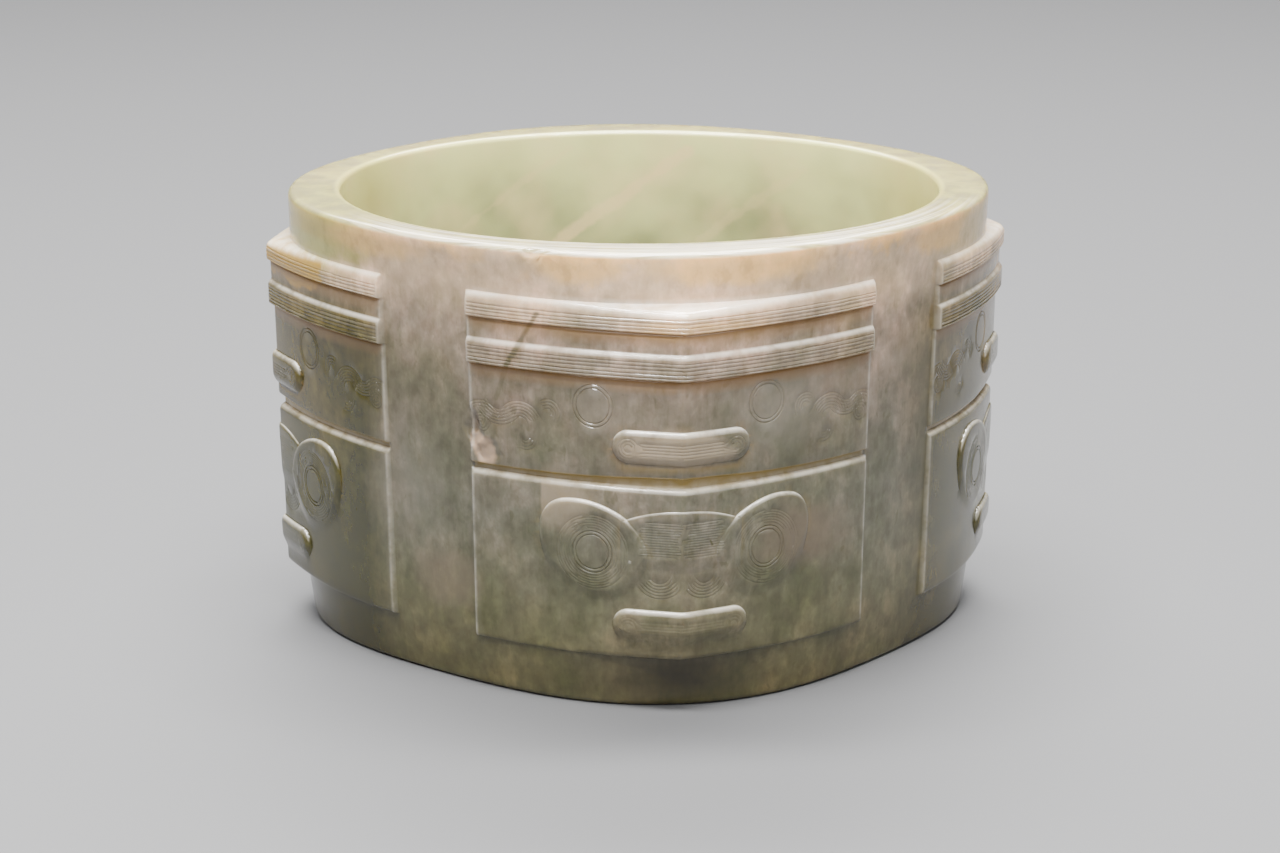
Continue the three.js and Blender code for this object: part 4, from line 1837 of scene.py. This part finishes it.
    def build(self) -> bpy.types.Material:
        """Makes the finish.

        Returns:
            The material.
        """
        bench = Bench(self.name, self.heading)
        shader = bench.shader
        bench.feed(shader.inputs["Base Color"], self.colour(bench))
        wear = bench.cloud(2.2, 4, 0.65)
        bench.feed(shader.inputs["Roughness"], bench.fade(wear, 0.3, 0.75, 0.13, 0.24))
        for name, value in (
            ("IOR", 1.54), ("Coat Weight", 0.2), ("Coat Roughness", 0.06), ("Coat IOR", 1.5),
            ("Subsurface Weight", 0.35), ("Subsurface Radius", (1.0, 0.8, 0.45)),
            ("Subsurface Scale", 1.6 * MM),
        ):
            shader.inputs[name].default_value = value
        pitted = bench.rough(bench.cloud(0.55, 3, 0.6), 0.35, 0.03)
        scratches = bench.times(bench.cloud(0.2, 2, 0.5, (40, 40, 1)), bench.mark("wear_and_highlight"))
        bench.feed(shader.inputs["Normal"], bench.rough(scratches, 0.8, 0.05, pitted))
        return bench.material


@dataclass(frozen=True)
class Lamp:
    """One soft light: its height and swing as the camera sees them, its distance, size and power.

    The rise is in degrees over the floor, and 90 is straight above. The swing is in degrees to the right
    of the camera. Distance and size are in metres, and the power is in watts.
    """

    name: str
    rise: float
    swing: float
    reach: float
    size: Flat
    power: float

    def hang(self, heading: float, aim: Vector) -> None:
        """Hangs the light so that it faces the cong.

        Args:
            heading: Which way the camera looks, in degrees.
            aim: The place that it faces, in metres.
        """
        data = bpy.data.lights.new(self.name, "AREA")
        data.shape = "RECTANGLE"
        data.size, data.size_y = self.size
        data.energy = self.power
        lamp = bpy.data.objects.new(self.name, data)
        bpy.context.collection.objects.link(lamp)
        up, turn = math.radians(self.rise), math.radians(heading + self.swing)
        way = Matrix.Rotation(turn, 3, "Z") @ Vector((0, -math.cos(up), math.sin(up)))
        lamp.location = aim + way * self.reach
        lamp.rotation_euler = (aim - lamp.location).to_track_quat("-Z", "Y").to_euler()


@dataclass(frozen=True)
class Studio:
    """A pale floor, soft lights and the camera at the photograph's angle."""

    heading: float = NEAR_HEADING
    pitch: float = 14.954
    lens: float = 91.6
    distance: float = 383.37
    eye_height: float = 124.14
    sideways: float = 0.062
    aim_height: float = 0.03
    floor_size: float = 6.0
    floor_grey: Tint = (0.068, 0.068, 0.069)
    sky: Tint = (0.9, 0.93, 1.0)
    sky_strength: float = 0.05
    lamps: tuple[Lamp, ...] = (
        Lamp("strip_front", 54, -10, 0.9, (0.8, 0.08), 12),
        Lamp("strip_above", 76, -4, 0.9, (0.8, 0.14), 36),
        Lamp("strip_over", 102, 4, 0.9, (0.8, 0.16), 38),
        Lamp("box_behind", 134, 6, 1.0, (1.0, 0.4), 22),
        Lamp("fill_left", 26, -26, 1.3, (0.9, 0.7), 6),
        Lamp("fill_right", 24, 40, 1.3, (0.9, 0.7), 6),
    )

    def camera(self) -> bpy.types.Object:
        """Stands the camera where the photograph was taken from.

        Returns:
            The camera.
        """
        turn = math.radians(self.heading)
        data = bpy.data.cameras.new("camera")
        data.lens = self.lens
        data.clip_start = 0.01
        camera = bpy.data.objects.new("camera", data)
        bpy.context.collection.objects.link(camera)
        spot = Vector((self.sideways, -self.distance, self.eye_height)) * MM
        camera.location = Matrix.Rotation(turn, 3, "Z") @ spot
        camera.rotation_euler = (math.radians(90 - self.pitch), 0, turn)
        bpy.context.scene.camera = camera
        return camera

    def floor(self) -> bpy.types.Object:
        """Lays a pale floor under the cong.

        Returns:
            The floor.
        """
        bpy.ops.mesh.primitive_plane_add(size=self.floor_size, location=(0, 0, 0))
        floor = bpy.context.object
        floor.name = "floor"
        material = bpy.data.materials.new("floor_pale")
        material.use_nodes = True
        shader = material.node_tree.nodes["Principled BSDF"]
        shader.inputs["Base Color"].default_value = (*self.floor_grey, 1)
        shader.inputs["Roughness"].default_value = 0.6
        floor.data.materials.append(material)
        return floor

    def build(self) -> None:
        """Sets up the whole studio."""
        self.camera()
        self.floor()
        for lamp in self.lamps:
            lamp.hang(self.heading, Vector((0, 0, self.aim_height)))
        world = bpy.data.worlds.new("soft")
        world.use_nodes = True
        sky = world.node_tree.nodes["Background"]
        sky.inputs["Color"].default_value = (*self.sky, 1)
        sky.inputs["Strength"].default_value = self.sky_strength
        bpy.context.scene.world = world


def main() -> None:
    """Builds the studio and the stone, and hands the stone to the frame."""
    logging.basicConfig(level=logging.INFO, format="%(message)s")
    Studio().build()
    stone = Cong().build()
    stone.data.materials.clear()
    stone.data.materials.append(Jade().build())
    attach(stone, "root")
    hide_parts("cong")
    triangles = sum(len(face.vertices) - 2 for face in stone.data.polygons)
    LOG.info("%s: %d triangles", stone.name, triangles)


if __name__ == "__main__":
    main()
